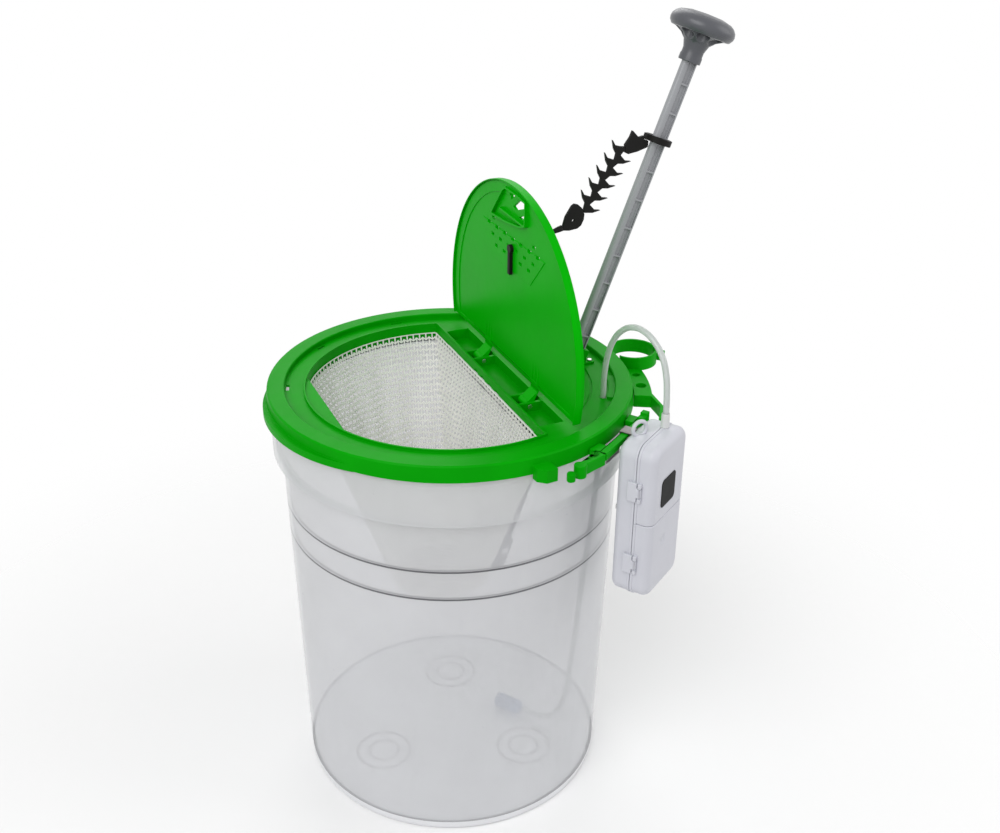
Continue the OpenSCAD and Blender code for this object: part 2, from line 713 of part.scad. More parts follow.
// The door, drawn shut over the window
module door_panel() {
    color("limegreen")
    door_frame()
    difference() {
        union() {
            door_slab(door_r, door_under, door_t);
            difference() {
                door_slab(door_r, door_skirt_z, door_under - door_skirt_z + eps);
                translate([door_x, 0, door_skirt_z - 1])
                    cylinder(r = door_r - door_skirt_w, h = 30, $fn = 128);
            }
            difference() {
                union() {
                    door_slab(door_r - 0.6, door_top - eps, bead_h + eps);
                    door_slab(door_r - 1.6, door_under - border_drop, border_drop + eps);
                }
                translate([door_x, 0, door_top]) cylinder(r = door_r - 0.6 - 1.5 * bead_w, h = 20, $fn = 128);
                translate([door_x, 0, door_under - 10]) linear_extrude(10 + eps)
                    window_shape(lip_r - 0.5 - bead_w, door_edge_x - door_x - 0.6 * bead_w, door_r);
            }
            for (side = [-1, 1]) translate([0, side * knuckle_y, 0]) door_knuckle();
            vent_panel();
            latch_frame();
        }
        translate([hinge_x - strap_hole_u, 0, door_under - 5]) cylinder(r = strap_hole_r, h = 20);
        vent_slots();
        latch_holes();
    }
}

// A slab of the door's outline, with its straight edge at the hinge
module door_slab(r, z, t) {
    translate([0, 0, z]) linear_extrude(t)
    intersection() {
        translate([door_x, 0]) circle(r = r, $fn = 128);
        translate([-200, -200]) square([200 + door_edge_x, 400]);
    }
}

// A knuckle with its three ribs
module door_knuckle() {
    rib = knuckle_w / 5;
    difference() {
        union() {
            translate([hinge_x, 0, hinge_z]) rotate([90, 0, 0])
                cylinder(r = knuckle_r, h = knuckle_w, center = true);
            across(-knuckle_w / 2, knuckle_w)
                polygon([[window_hinge_x - 3, door_under + eps], [door_edge_x, door_under + door_t],
                    [hinge_x + 1.6, hinge_z + 3], [hinge_x + 3, hinge_z - 1], [hinge_x - 3, hinge_z - 1],
                    [window_hinge_x + lip_t + 2.4, lip_top + 0.4], [window_hinge_x - 2, lip_top + 0.4]]);
            for (i = [-2, 0, 2]) across((i - 0.5) * rib, rib)
                polygon([[window_hinge_x - 20, door_under + eps], [door_edge_x, door_under + eps],
                    [window_hinge_x + 4, lip_top + 0.4], [window_hinge_x - 6, lip_top + 0.4]]);
        }
        translate([hinge_x, 0, hinge_z]) rotate([90, 0, 0])
            cylinder(r = hinge_pin_r + pin_clear, h = knuckle_w + 2, center = true);
    }
}

// The raised field that the vent slots lie in
module vent_panel() {
    u = hinge_x - strap_hole_u;
    translate([0, 0, door_under - 0.6]) linear_extrude(0.6 + eps)
        polygon([[u - 8.5, -61], [u - 8.5, 61], [u + 19.5, 35.5], [u + 19.5, -35.5]]);
}

// The vent slots, row by row about the strap hole
module vent_slots() {
    rows = [[1.75, [-2.5, 2.5]], [1, [-3, -2, -1, 0, 1, 2, 3]], [0, [-2.5, -1.5, -0.5, 0.5, 1.5, 2.5]],
        [-1, [-2, -1, 1, 2]]];
    for (row = rows, place = row[1])
        translate([hinge_x - strap_hole_u - row[0] * vent_row - vent_w / 2,
            place * vent_pitch - vent_l / 2, door_under - 5])
        cube([vent_w, vent_l, 20]);
}

// The raised frame round the finger latch near the door's far edge
module latch_frame() {
    translate([hinge_x - strap_hole_u, 0, door_under - 3.2]) linear_extrude(3.2 + eps)
    difference() {
        polygon([[-47.4, -28], [-49, -10], [-49, 12], [-45, 18], [-19, 41], [-17.4, 41], [-19, 12],
            [-23, -17], [-27, -28]]);
        polygon([[-46, -26.6], [-47.4, -9.5], [-47.4, 11.4], [-44, 16.6], [-19.4, 38], [-20.7, 12],
            [-24.6, -17], [-28.2, -26.6]]);
    }
    for (rib = [[[-33, -27], [-41, 12]], [[-27, -27], [-28, 22]]]) let (d = rib[1] - rib[0])
        translate([hinge_x - strap_hole_u + rib[0].x, rib[0].y, door_under - 3.2])
        rotate([0, 0, atan2(d.y, d.x)]) translate([0, -0.9, 0]) cube([norm(d), 1.8, 3.2 + eps]);
}

// The finger latch's three openings
module latch_holes() {
    translate([hinge_x - strap_hole_u, 0, door_under - 5]) linear_extrude(20)
        for (hole = latch_holes_at) polygon(hole);
}

// The strap's end, seated in the door: plug in the hole and tail below
module strap_tail() {
    color("black")
    door_frame()
    union() {
        translate([hinge_x - strap_hole_u, 0, door_under - 2.6])
            cylinder(r = strap_hole_r - fine, h = door_t + 4.6);
        translate([hinge_x - strap_hole_u, 0, door_under - 3.9]) cylinder(r = 3.6, h = 3);
        span([hinge_x - strap_hole_u, -2.2, door_under - 3.9],
            [hinge_x - strap_hole_u + tail_l, 2.2, door_under - 0.9]);
        translate([hinge_x - strap_hole_u, 0, door_top + 0.3]) cylinder(r = 4, h = 1.8);
    }
}

// The lift rod: half-round spine, middle web, edge flange and cross ribs
module lift_rod() {
    first = ceil(-rod_below / rod_pitch);
    last = floor(rod_above / rod_pitch);
    color("dimgray")
    on_rod()
    difference() {
        union() {
        translate([0, 0, -rod_below]) linear_extrude(rod_above + rod_below) {
            translate([-rod_w / 2 + rod_spine_r, 0]) circle(r = rod_spine_r);
            translate([-rod_w / 2 + rod_spine_r, -rod_web / 2]) square([rod_w - rod_spine_r, rod_web]);
            translate([rod_w / 2 - rod_flange, -rod_d / 2]) square([rod_flange, rod_d]);
        }
        for (i = [first : last])
            translate([-rod_w / 2 + rod_spine_r, -rod_d / 2 + 0.4, i * rod_pitch - rod_rib / 2])
            cube([rod_w - rod_spine_r - rod_flange / 2, rod_d - 0.8, rod_rib]);
        }
        translate([0, 0, foot_pin_w]) rotate([90, 0, 0]) cylinder(r = foot_pin_r, h = 40, center = true);
    }
}

// The mushroom knob on the rod's top end
module rod_knob() {
    r = knob_r;
    color("slategray")
    on_rod()
    difference() {
        translate([0, 0, knob_w - knob_neck_h]) rotate_extrude()
            polygon([[0, 0], [knob_neck_r, 0], [knob_neck_r, 5], [knob_neck_r - 0.5, 6],
                [knob_neck_r - 0.5, knob_neck_h - 18], [knob_neck_r + 1.6, knob_neck_h - 12],
                [r * 0.55, knob_neck_h - 8], [r * 0.76, knob_neck_h - 5], [r * 0.9, knob_neck_h - 4.6],
                [r - 0.5, knob_neck_h - 1.6], [r, knob_neck_h + 1], [r - 0.6, knob_neck_h + 4],
                [r * 0.9, knob_neck_h + knob_t * 0.6], [r * 0.78, knob_neck_h + knob_t * 0.78],
                [r * 0.5, knob_neck_h + knob_t * 0.94], [0, knob_neck_h + knob_t]]);
        translate([0, 0, knob_w - knob_neck_h - 1]) linear_extrude(rod_above - knob_w + knob_neck_h + 1.3)
            square([rod_w + 0.2, rod_d + 0.2], center = true);
        for (i = [0 : 7]) rotate([0, 0, i * 45 + 22.5]) translate([r * 0.62, 0, knob_w - 16])
            cylinder(r = r * 0.19, h = 15);
        translate([0, 0, knob_w + knob_t - 1.4]) cube([11, 2.4, 4], center = true);
    }
}

// The plate at the net's bottom, with its arm and the socket for the rod's foot
module net_foot() {
    color("dimgray")
    difference() {
        union() {
            translate([foot_x, 0, foot_z]) cylinder(r = foot_r, h = foot_t);
            translate([foot_x, 0, foot_z - 2]) cylinder(r = foot_r - 6, h = 2 + eps);
            span([foot_x, -9, foot_z - 5], [socket_x, 9, foot_z - net_gap]);
            intersection() {
                on_rod() translate([0, 0, foot_w - 22]) cylinder(r = 10.5, h = 42);
                translate([0, 0, foot_z - 5]) cylinder(r = 200, h = 100);
            }
        }
        on_rod() translate([0, 0, -rod_below - 0.2]) linear_extrude(60)
            square([rod_w + 0.2, rod_d + 0.2], center = true);
        on_rod() translate([0, 0, foot_pin_w]) rotate([90, 0, 0])
            cylinder(r = foot_pin_r, h = 40, center = true);
    }
}

// The pin through the foot's socket and the rod's end
module foot_pin() {
    color("silver")
    on_rod() translate([0, 0, foot_pin_w]) rotate([90, 0, 0]) {
        cylinder(r = foot_pin_r - 0.05, h = 23, center = true);
        for (side = [-1, 1]) translate([0, 0, side * 11.4]) cylinder(r = 3.2, h = 1.4, center = true);
    }
}

// The strap's collar round the rod
module strap_collar() {
    color("black")
    on_rod() translate([0, 0, collar_w])
    difference() {
        union() {
            cylinder(r = collar_ring_r, h = 5, center = true);
            span([-collar_ring_r - 2, -3, -2.5], [-collar_ring_r + 2, 3, 2.5]);
        }
        cube([rod_w + 0.6, rod_d + 0.6, 20], center = true);
    }
}

// One side of the zigzag's outline, from its top to its low end
function zigzag_side(side) = let (way = zigzag_low - zigzag_top, n = zigzag_count, step = way / n,
    out = [-way.y, way.x] / norm(way) * side, bar = zigzag_bar * out, tip = zigzag_w / 2 * out)
    [for (i = [0 : n - 1]) let (at = zigzag_top + step * (side > 0 ? i + 0.5 : i))
        each [at + bar - step * 0.1 - tip * (i > 0 || side > 0 ? 0.14 : 0), at + tip * 0.62 + step * 0.04,
        at + tip - step * 0.16, at + tip * 0.58 + step * 0.3, at + bar + step * 0.5]];
function reversed(list) = [for (i = [len(list) - 1 : -1 : 0]) list[i]];

// The shoulder that joins the strap to its collar
module strap_shoulder() {
    color("black")
    across(-strap_t / 2, strap_t) translate(strap_pivot) polygon(upper_paddle);
}

// The zigzag, flat across the hinge, between the shoulder and the lower paddle
module strap_zigzag() {
    color("black")
    across(-strap_t / 2, strap_t)
    difference() {
        polygon(concat([zigzag_top + [4, 2]], zigzag_side(1), [zigzag_low + [-1, -1.4]],
            reversed(zigzag_side(-1))));
        translate(strap_pivot) offset(delta = strap_joint) polygon(upper_paddle);
        translate(strap_low) offset(delta = strap_joint) polygon(lower_paddle);
    }
}

// The lower paddle, six-sided with a small hole
module strap_paddle() {
    color("black")
    across(-strap_t / 2, strap_t) translate(strap_low)
    difference() {
        polygon(lower_paddle);
        translate([8.6, 5.6]) circle(r = paddle_hole_r, $fn = 24);
    }
}

// The neck between the lower paddle and the door
module strap_neck() {
    way = strap_end - strap_low;
    color("black")
    translate([strap_low.x, 0, strap_low.y]) rotate([0, -atan2(way.y, way.x), 0])
    translate([strap_neck_gap, 0, 0]) rotate([0, 90, 0]) cylinder(r = 2, h = norm(way) - strap_neck_gap);
}

// The pump's rear shell
module pump_rear_shell() {
    wall = pump_wall;
    color("white")
    at_pump()
    difference() {
        union() {
            translate([0, pump_off, pump_low]) facing_x(pump_x, pump_rear_d - case_gap / 2)
                rounded(pump_w, pump_h, pump_corner);
            for (z = [8, 48]) translate([part_x, cover_axis_y, pump_low + z])
                rear_knuckle(12);
        }
        translate([0, pump_off, pump_low + wall]) facing_x(pump_x + wall, pump_rear_d)
            rounded(pump_w - 2 * wall, pump_h - 2 * wall, pump_corner - wall);
        translate([part_x, cover_axis_y, pump_low]) cylinder(r = cover_pin_r + pin_clear, h = pump_h);
        translate([nozzle_x, nozzle_y, pump_top - 10]) cylinder(r = nozzle_r + 0.1, h = 20);
        for (y = [-8, 8]) translate([pump_x - 1, pump_off - 1 + y, pump_top - 22]) rotate([0, 90, 0])
            cylinder(r = 1.5, h = 10);
        for (y = [-22, 22], z = [pump_h - 9, pump_h - 60])
            translate([pump_x - 1, pump_off + y, pump_low + z]) rotate([0, 90, 0]) cylinder(r = 1.6, h = 10);
    }
}

// One knuckle of the rear shell, joined to its side wall
module rear_knuckle(h) {
    cylinder(r = cover_knuckle_r, h = h);
    span([-5, pump_right - cover_axis_y - 0.5, 0], [-case_gap / 2, 0, h]);
}

// The upper front cover, over the motor and the air chamber
module pump_front_cover() {
    wall = pump_wall;
    depth = pump_front - part_x;
    color("white")
    at_pump()
    difference() {
        union() {
            intersection() {
                translate([0, pump_off, pump_low]) facing_x(part_x + case_gap / 2, depth - case_gap / 2)
                    rounded(pump_w, pump_h, pump_corner);
                span([0, -200, seam_z + case_gap / 2], [400, 200, 1000]);
            }
            latch_ears(latch_upper_z);
        }
        intersection() {
            translate([0, pump_off, pump_low + wall]) facing_x(part_x - 1, depth + 1 - wall)
                rounded(pump_w - 2 * wall, pump_h - 2 * wall, pump_corner - wall);
            span([0, -200, seam_z + wall], [400, 200, 1000]);
        }
        translate([nozzle_x, nozzle_y, pump_top - 10]) cylinder(r = nozzle_r + 0.1, h = 20);
        translate([switch_x, pump_right - 10, switch_z]) rotate([-90, 0, 0])
            cylinder(r = button_r + 0.2, h = 20);
        latch_pin_hole(latch_upper_z);
    }
}

// The two ears that hold a side latch, above and below its barrel
module latch_ears(z) {
    for (end = [0, latch_h - 4]) span([part_x + 2.5, pump_left - latch_t, z + end],
        [part_x + 5.5, pump_left + 0.5, z + end + 4]);
}

// The bore through both ears of a side latch
module latch_pin_hole(z) {
    translate([part_x + 4, pump_left - latch_t / 2, z - 1])
        cylinder(r = latch_pin_r + pin_clear, h = latch_h + 2);
}

// A side latch: a plate over the parting line, with its barrel and pin ends
module side_latch(z) {
    color("white")
    at_pump() {
        span([latch_x, pump_left - latch_t, z], [part_x + 1.7, pump_left - 0.3, z + latch_h]);
        span([part_x + 1.6, pump_left - latch_t, z + 4.3],
            [part_x + 4, pump_left - 0.3, z + latch_h - 4.3]);
        translate([part_x + 4, pump_left - latch_t / 2, z + 4.3])
            cylinder(r = latch_t / 2 - 0.1, h = latch_h - 8.6);
        translate([part_x + 4, pump_left - latch_t / 2, z]) cylinder(r = latch_pin_r, h = latch_h);
    }
}

module upper_latch() {
    side_latch(latch_upper_z);
}

module lower_latch() {
    side_latch(latch_lower_z);
}

// The battery cover, with its thumb dimple and its knuckle
module battery_cover() {
    wall = pump_wall;
    depth = pump_front - part_x;
    color("white")
    at_pump()
    difference() {
        union() {
            intersection() {
                translate([0, pump_off, pump_low]) facing_x(part_x + case_gap / 2, depth - case_gap / 2)
                    rounded(pump_w, pump_h, pump_corner);
                span([0, -200, 0], [400, 200, seam_z - case_gap / 2]);
            }
            latch_ears(latch_lower_z);
            translate([part_x, cover_axis_y, pump_low + 20.4]) {
                cylinder(r = cover_knuckle_r, h = 27.2);
                span([case_gap / 2, pump_right - cover_axis_y - 0.5, 0], [5, 0, 27.2]);
            }
        }
        intersection() {
            translate([0, pump_off, pump_low + wall]) facing_x(part_x - 1, depth + 1 - wall)
                rounded(pump_w - 2 * wall, pump_h - 2 * wall, pump_corner - wall);
            span([0, -200, 0], [400, 200, seam_z - wall]);
        }
        translate([part_x, cover_axis_y, pump_low]) cylinder(r = cover_pin_r + pin_clear, h = pump_h);
        translate([pump_front + 12, pump_off - 6, pump_low + 47]) sphere(r = 13);
        latch_pin_hole(latch_lower_z);
    }
}

// The pin that the battery cover swings on
module cover_pin() {
    color("silver")
    at_pump() translate([part_x, cover_axis_y, pump_low + 8]) cylinder(r = cover_pin_r, h = 52);
}

// The seal inside the parting line
module pump_seal() {
    wall = pump_wall;
    color("gainsboro")
    at_pump() translate([0, pump_off, 0])
    difference() {
        translate([0, 0, pump_low + wall + 0.3]) facing_x(part_x - 2.5, 2.3)
            rounded(pump_w - 2 * wall - 0.6, pump_h - 2 * wall - 0.6, pump_corner - wall);
        translate([0, 0, pump_low + wall + 0.3 + seal_t]) facing_x(part_x - 3, 4)
            rounded(pump_w - 2 * wall - 0.6 - 2 * seal_t, pump_h - 2 * wall - 0.6 - 2 * seal_t,
            pump_corner - wall - seal_t);
    }
}

// The steel belt clip: plate on the pump, bridge over the bar, tongue behind it
module belt_clip() {
    bridge_z = bar_top + 0.3;
    back_x = bar_x - 0.4;
    color("gray")
    at_pump()
    difference() {
        union() {
            span([pump_x - clip_t, pump_off - 12, pump_top - 28], [pump_x, pump_off + 10, bridge_z]);
            span([back_x - clip_t, pump_off - 6, bridge_z], [pump_x, pump_off + 5, bridge_z + clip_t]);
            span([back_x - clip_t, pump_off - 28, bridge_z - 18], [back_x, pump_off + 5, bridge_z - 3]);
            span([back_x - clip_t, pump_off - 6, bridge_z - 4], [back_x, pump_off + 5, bridge_z + clip_t]);
        }
        for (y = [-8, 8]) translate([pump_x - 5, pump_off - 1 + y, pump_top - 22]) rotate([0, 90, 0])
            cylinder(r = 1.5, h = 10);
    }
}

// The two screws of the belt clip
module clip_screws() {
    color("silver")
    at_pump() for (y = [-8, 8]) translate([pump_x - clip_t - 1.4, pump_off - 1 + y, pump_top - 22])
    rotate([0, 90, 0]) {
        cylinder(r = 2.8, h = 1.4);
        cylinder(r = 1.45, h = 1.4 + clip_t + pump_wall);
    }
}

// The four screws that join the rear shell to the works inside
module case_screws() {
    color("silver")
    at_pump() for (y = [-22, 22], z = [pump_h - 9, pump_h - 60])
    translate([pump_x - 1.2, pump_off + y, pump_low + z]) rotate([0, 90, 0]) {
        cylinder(r = 2.8, h = 1.2);
        cylinder(r = 1.5, h = 1.2 + pump_wall + 3);
    }
}

// The loop on the pump's top for a lanyard
module lanyard_loop() {
    color("white")
    at_pump() translate([pump_x + 7.5, pump_off - 8, pump_top])
    rotate([0, 0, 60]) intersection() {
        translate([0, 0, 5]) rotate([90, 0, 0]) rotate_extrude()
            translate([6.2, 0]) circle(r = 1.6, $fn = 32);
        span([-20, -20, 0], [20, 20, 30]);
    }
}

// The nozzle on the pump's top
module air_nozzle() {
    color("white")
    at_pump() translate([nozzle_x, nozzle_y, 0]) {
        translate([0, 0, pump_top - pump_wall - 3.2])
            cylinder(r = nozzle_r, h = pump_wall + 3.2 + hose_start - 0.2);
        translate([0, 0, pump_top - pump_wall - 3.2]) cylinder(r = 3.4, h = 1.6);
    }
}

// The soft sleeve over the hose's end
module hose_sleeve() {
    color("whitesmoke")
    at_pump() translate([nozzle_x, nozzle_y, 0])
    difference() {
        translate([0, 0, pump_top]) cylinder(r = sleeve_r, h = 12.5);
        translate([0, 0, pump_top + hose_start - 0.4]) cylinder(r = hose_od / 2 + 0.2, h = 20);
        translate([0, 0, pump_top - 1]) cylinder(r = nozzle_r + 0.1, h = 20);
    }
}

// A point of the smooth curve through four route points
function curve(a, b, c, d, t) = 0.5 * ((2 * b) + (c - a) * t
    + (2 * a - 5 * b + 4 * c - d) * t * t + (3 * b - a - 3 * c + d) * t * t * t);
function smooth_path(p) = [for (i = [0 : len(p) - 2]) each [for (k = [0 : hose_steps - 1])
    curve(p[max(i - 1, 0)], p[i], p[i + 1], p[min(i + 2, len(p) - 1)], k / hose_steps)],
    p[len(p) - 1]];
function unit(v) = v / norm(v);

// A tube swept along points: each ring turns the last one as little as it can
function headings(p) = [for (i = [0 : len(p) - 1])
    unit(p[min(i + 1, len(p) - 1)] - p[max(i - 1, 0)])];
function side_of(v, t) = unit(v - t * (v * t));
function sides_along(h, first, i = 0, out = []) = i == len(h) ? out
    : sides_along(h, first, i + 1, concat(out, [side_of(i == 0 ? first : out[i - 1], h[i])]));

// The hose
module air_hose() {
    path = smooth_path(hose_route);
    heading = headings(path);
    across_dir = sides_along(heading, [1, 0.2, 0.1]);
    n = hose_sides;
    points = [for (i = [0 : len(path) - 1]) for (k = [0 : n - 1])
        path[i] + hose_od / 2 * (cos(k * 360 / n) * across_dir[i]
        + sin(k * 360 / n) * cross(heading[i], across_dir[i]))];
    walls = [for (i = [0 : len(path) - 2]) for (k = [0 : n - 1]) let (m = (k + 1) % n)
        each [[i * n + k, (i + 1) * n + m, i * n + m], [i * n + k, (i + 1) * n + k, (i + 1) * n + m]]];
    cap = len(points) - n;
    caps = [for (k = [1 : n - 2]) each [[0, k, k + 1], [cap, cap + k + 1, cap + k]]];
    color("gainsboro") polyhedron(points, concat(walls, caps), convexity = 10);
}

// The air stone at the hose's far end, lying on the floor
module air_stone() {
    last = hose_route[len(hose_route) - 1];
    back = hose_route[len(hose_route) - 2];
    way = last - back;
    color("slateblue")
    translate(last + 0.2 * unit(way)) rotate([0, 0, atan2(way.y, way.x)]) rotate([0, 90, 0]) {
        cylinder(r = 2.4, h = 4);
        translate([0, 0, 3.5]) cylinder(r = stone_r, h = stone_l);
    }
}

// The motor and its shaft
module motor() {
    color("silver")
    at_pump() translate([motor_x, motor_y, motor_z]) rotate([-90, 0, 0]) {
        cylinder(r = motor_r, h = motor_l);
        cylinder(r = 3, h = motor_l + 2);
    }
}

// The cradle that the motor sits in
module motor_mount() {
    color("gray")
    at_pump()
    difference() {
        span([pump_x + pump_wall, motor_y + 4, motor_z - motor_r - 2],
            [motor_x, motor_y + motor_l - 4, motor_z + motor_r + 2]);
        translate([motor_x, motor_y - 5, motor_z]) rotate([-90, 0, 0])
            cylinder(r = motor_r + 0.05, h = motor_l + 10);
    }
}

// The eccentric on the motor's shaft
module eccentric() {
    color("goldenrod")
    at_pump() translate([motor_x, motor_y + motor_l + 2.3, motor_z]) rotate([-90, 0, 0]) {
        translate([0, eccentric_off, 0]) cylinder(r = eccentric_r, h = eccentric_w);
        cylinder(r = 2, h = eccentric_w + 1);
    }
}

// The arm that the eccentric rocks, under the diaphragm
module diaphragm_arm() {
    low = motor_z + eccentric_r + eccentric_off + arm_gap;
    y0 = motor_y + motor_l + 1;
    color("ivory")
    at_pump() {
        span([motor_x - 4, y0, low], [motor_x + 4, y0 + 16, low + arm_t]);
        translate([motor_x, y0 + 12, low]) cylinder(r = 2.2, h = chamber_z - 2.4 - low);
    }
}

// The rubber diaphragm
module diaphragm() {
    color("black")
    at_pump() translate([motor_x, motor_y + motor_l + 13, chamber_z - 2.2]) cylinder(r = 9, h = 2);
}

// The air chamber over the diaphragm
module air_chamber() {
    color("ivory")
    at_pump()
    difference() {
        translate([motor_x, motor_y + motor_l + 13, chamber_z]) cylinder(r = chamber_l / 2, h = chamber_h);
        translate([motor_x, motor_y + motor_l + 13, chamber_z - 1]) cylinder(r = 7, h = chamber_h - 2);
    }
}

// The short tube from the chamber to the nozzle
module chamber_tube() {
    low = chamber_z + chamber_h;
    high = pump_top - pump_wall - 3.4;
    color("gainsboro")
    at_pump() translate([nozzle_x, nozzle_y, low + 0.2]) cylinder(r = 2.4, h = high - low - 0.2);
}

// The two cells
module battery_cells() {
    color("darkslategray")
    at_pump() for (side = [-1, 1]) translate([cell_x, pump_off + side * cell_y, cell_z]) {
        cylinder(r = cell_dia / 2, h = cell_l - 1.5);
        cylinder(r = 3, h = cell_l);
    }
}

// The contact plates above and below the cells
module battery_contacts() {
    color("silver")
    at_pump() {
        span([pump_x + pump_wall, pump_off - 21, cell_z + cell_l + 0.1],
            [cell_x + 6, pump_off + 21, cell_z + cell_l + 1.3]);
        span([pump_x + pump_wall, pump_off - 21, cell_z - 4.2], [cell_x + 6, pump_off + 21, cell_z - 3]);
    }
}

// The springs below the cells, as short bushes
module contact_springs() {
    color("silver")
    at_pump() for (side = [-1, 1]) translate([cell_x, pump_off + side * cell_y, 0])
        ring(4.5, 3.3, cell_z - 2.9, 2.8);
}

// The switch's button, in the right-hand wall
module switch_button() {
    color("gray")
    at_pump() translate([switch_x, pump_right - pump_wall - 3, switch_z]) rotate([-90, 0, 0]) {
        cylinder(r = button_r, h = 3 + pump_wall + 1.6);
        cylinder(r = button_r + 1.2, h = 1.2);
    }
}

// The switch behind the button
module switch_body() {
    color("black")
    at_pump() span([switch_x - 5, pump_right - pump_wall - 10.5, switch_z - 5],
        [switch_x + 5, pump_right - pump_wall - 3 - button_travel - 0.2, switch_z + 5]);
}

// The bare label plate on the upper cover
module label_plate() {
    color("black")
    at_pump() translate([0, pump_off - 3, pump_low + 79.5]) facing_x(pump_front, 0.5)
        rounded(25, 25, 4);
}

// The two screws that hold the rod's guide to the deck
module guide_screws() {
    color("silver")
    for (side = [-1, 1]) translate([rod_x + 13, side * 8.5, deck_z + 2]) cylinder(r = 2, h = 1.2);
}

bucket_shell();
lid_ring();
net_frame();
net_bag();
rod_guide();
hinge_pins();
tool_holder();
pump_hanger();
door_panel();
strap_tail();
lift_rod();
rod_knob();
net_foot();
foot_pin();
strap_collar();
strap_shoulder();
strap_zigzag();
strap_paddle();
strap_neck();
pump_rear_shell();
pump_front_cover();
battery_cover();
cover_pin();
upper_latch();
lower_latch();
pump_seal();
belt_clip();
clip_screws();
case_screws();
lanyard_loop();
air_nozzle();
hose_sleeve();
air_hose();
air_stone();
motor();
motor_mount();
eccentric();
diaphragm_arm();
diaphragm();
air_chamber();
chamber_tube();
battery_cells();
battery_contacts();
contact_springs();
switch_button();
switch_body();
label_plate();
guide_screws();
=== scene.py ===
import math
import bmesh
import bpy
from mathutils import Matrix, Vector


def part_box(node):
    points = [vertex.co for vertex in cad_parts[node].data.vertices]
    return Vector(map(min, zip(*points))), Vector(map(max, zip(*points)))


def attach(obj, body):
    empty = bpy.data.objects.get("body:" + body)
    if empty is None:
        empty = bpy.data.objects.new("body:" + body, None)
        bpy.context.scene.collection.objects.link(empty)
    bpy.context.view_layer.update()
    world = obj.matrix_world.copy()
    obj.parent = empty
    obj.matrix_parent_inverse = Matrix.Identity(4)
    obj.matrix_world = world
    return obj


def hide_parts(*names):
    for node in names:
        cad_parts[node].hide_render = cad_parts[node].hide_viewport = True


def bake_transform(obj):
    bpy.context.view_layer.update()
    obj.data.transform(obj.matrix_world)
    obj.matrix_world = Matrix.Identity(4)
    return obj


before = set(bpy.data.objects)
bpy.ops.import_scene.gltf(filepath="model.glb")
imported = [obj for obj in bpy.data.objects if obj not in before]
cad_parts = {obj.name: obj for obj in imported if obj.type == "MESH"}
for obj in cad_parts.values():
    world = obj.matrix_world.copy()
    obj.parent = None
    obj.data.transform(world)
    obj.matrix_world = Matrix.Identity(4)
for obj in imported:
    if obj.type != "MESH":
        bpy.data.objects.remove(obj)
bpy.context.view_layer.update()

# The view. The bucket is seen from its front left, a little from above, so that the open
# window with the net in it and the pump on its bar all show.
eye = Vector((-0.35794, -0.90869, 0.84499))
look = Vector((0.36086, 0.81180, -0.45908)).normalized()
tilt = math.radians(0.757)
focal_length, film_width = 46.357, 36
level = look.cross(Vector((0, 0, 1))).normalized()
right = level * math.cos(tilt) + level.cross(look) * math.sin(tilt)
above = right.cross(look)
camera_data = bpy.data.cameras.new("camera")
camera_data.lens = focal_length
camera_data.sensor_width = film_width
camera = bpy.data.objects.new("camera", camera_data)
camera.matrix_world = Matrix.Translation(eye) @ Matrix((right, above, -look)).transposed().to_4x4()
bpy.context.scene.collection.objects.link(camera)
bpy.context.scene.camera = camera

# The air hose. A soft, slightly milky tube that leaves the pump's nozzle upwards, turns over
# and drops through the hole in the deck, then hangs past the net down to the floor.
MM = 0.001
hose_diameter = 5 * MM
hose_route = [(124.5, -142.5, 378), (124.5, -142.5, 392), (124.3, -142, 404), (123.8, -140, 418),
              (122.5, -135, 431), (120, -125.5, 441), (116.8, -113.5, 446), (113.6, -101.5, 445),
              (110.8, -90, 438), (108.6, -81, 426), (107.2, -75.5, 411), (106.5, -73, 394),
              (106.4, -72.9, 378), (106.4, -72.9, 362), (106.4, -72.9, 340), (105.8, -72.4, 310),
              (103.8, -71, 270), (101, -69, 225), (98, -67, 180), (95.5, -65, 135), (93.5, -62.5, 95),
              (91.5, -59, 62), (88.5, -53, 38), (84, -45, 23), (78, -36, 16.5), (72, -27.5, 15.2),
              (66, -19, 15.2)]


def new_material(name):
    """A new node material, with its tree and its shader."""
    material = bpy.data.materials.new(name)
    material.use_nodes = True
    return material, material.node_tree, material.node_tree.nodes["Principled BSDF"]


def add(tree, kind, inputs=(), **settings):
    """A node in a tree, with its settings, and values or links for its inputs."""
    node = tree.nodes.new("ShaderNode" + kind)
    for key, value in settings.items():
        setattr(node, key, value)
    for key, value in dict(inputs).items():
        if isinstance(value, bpy.types.NodeSocket):
            tree.links.new(value, node.inputs[key])
        else:
            node.inputs[key].default_value = value
    return node


def show(piece, material, body):
    """Gives a piece its finish and the body that it moves with."""
    piece.data.materials.clear()
    piece.data.materials.append(material)
    bpy.context.scene.collection.objects.link(piece)
    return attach(piece, body) if body else piece


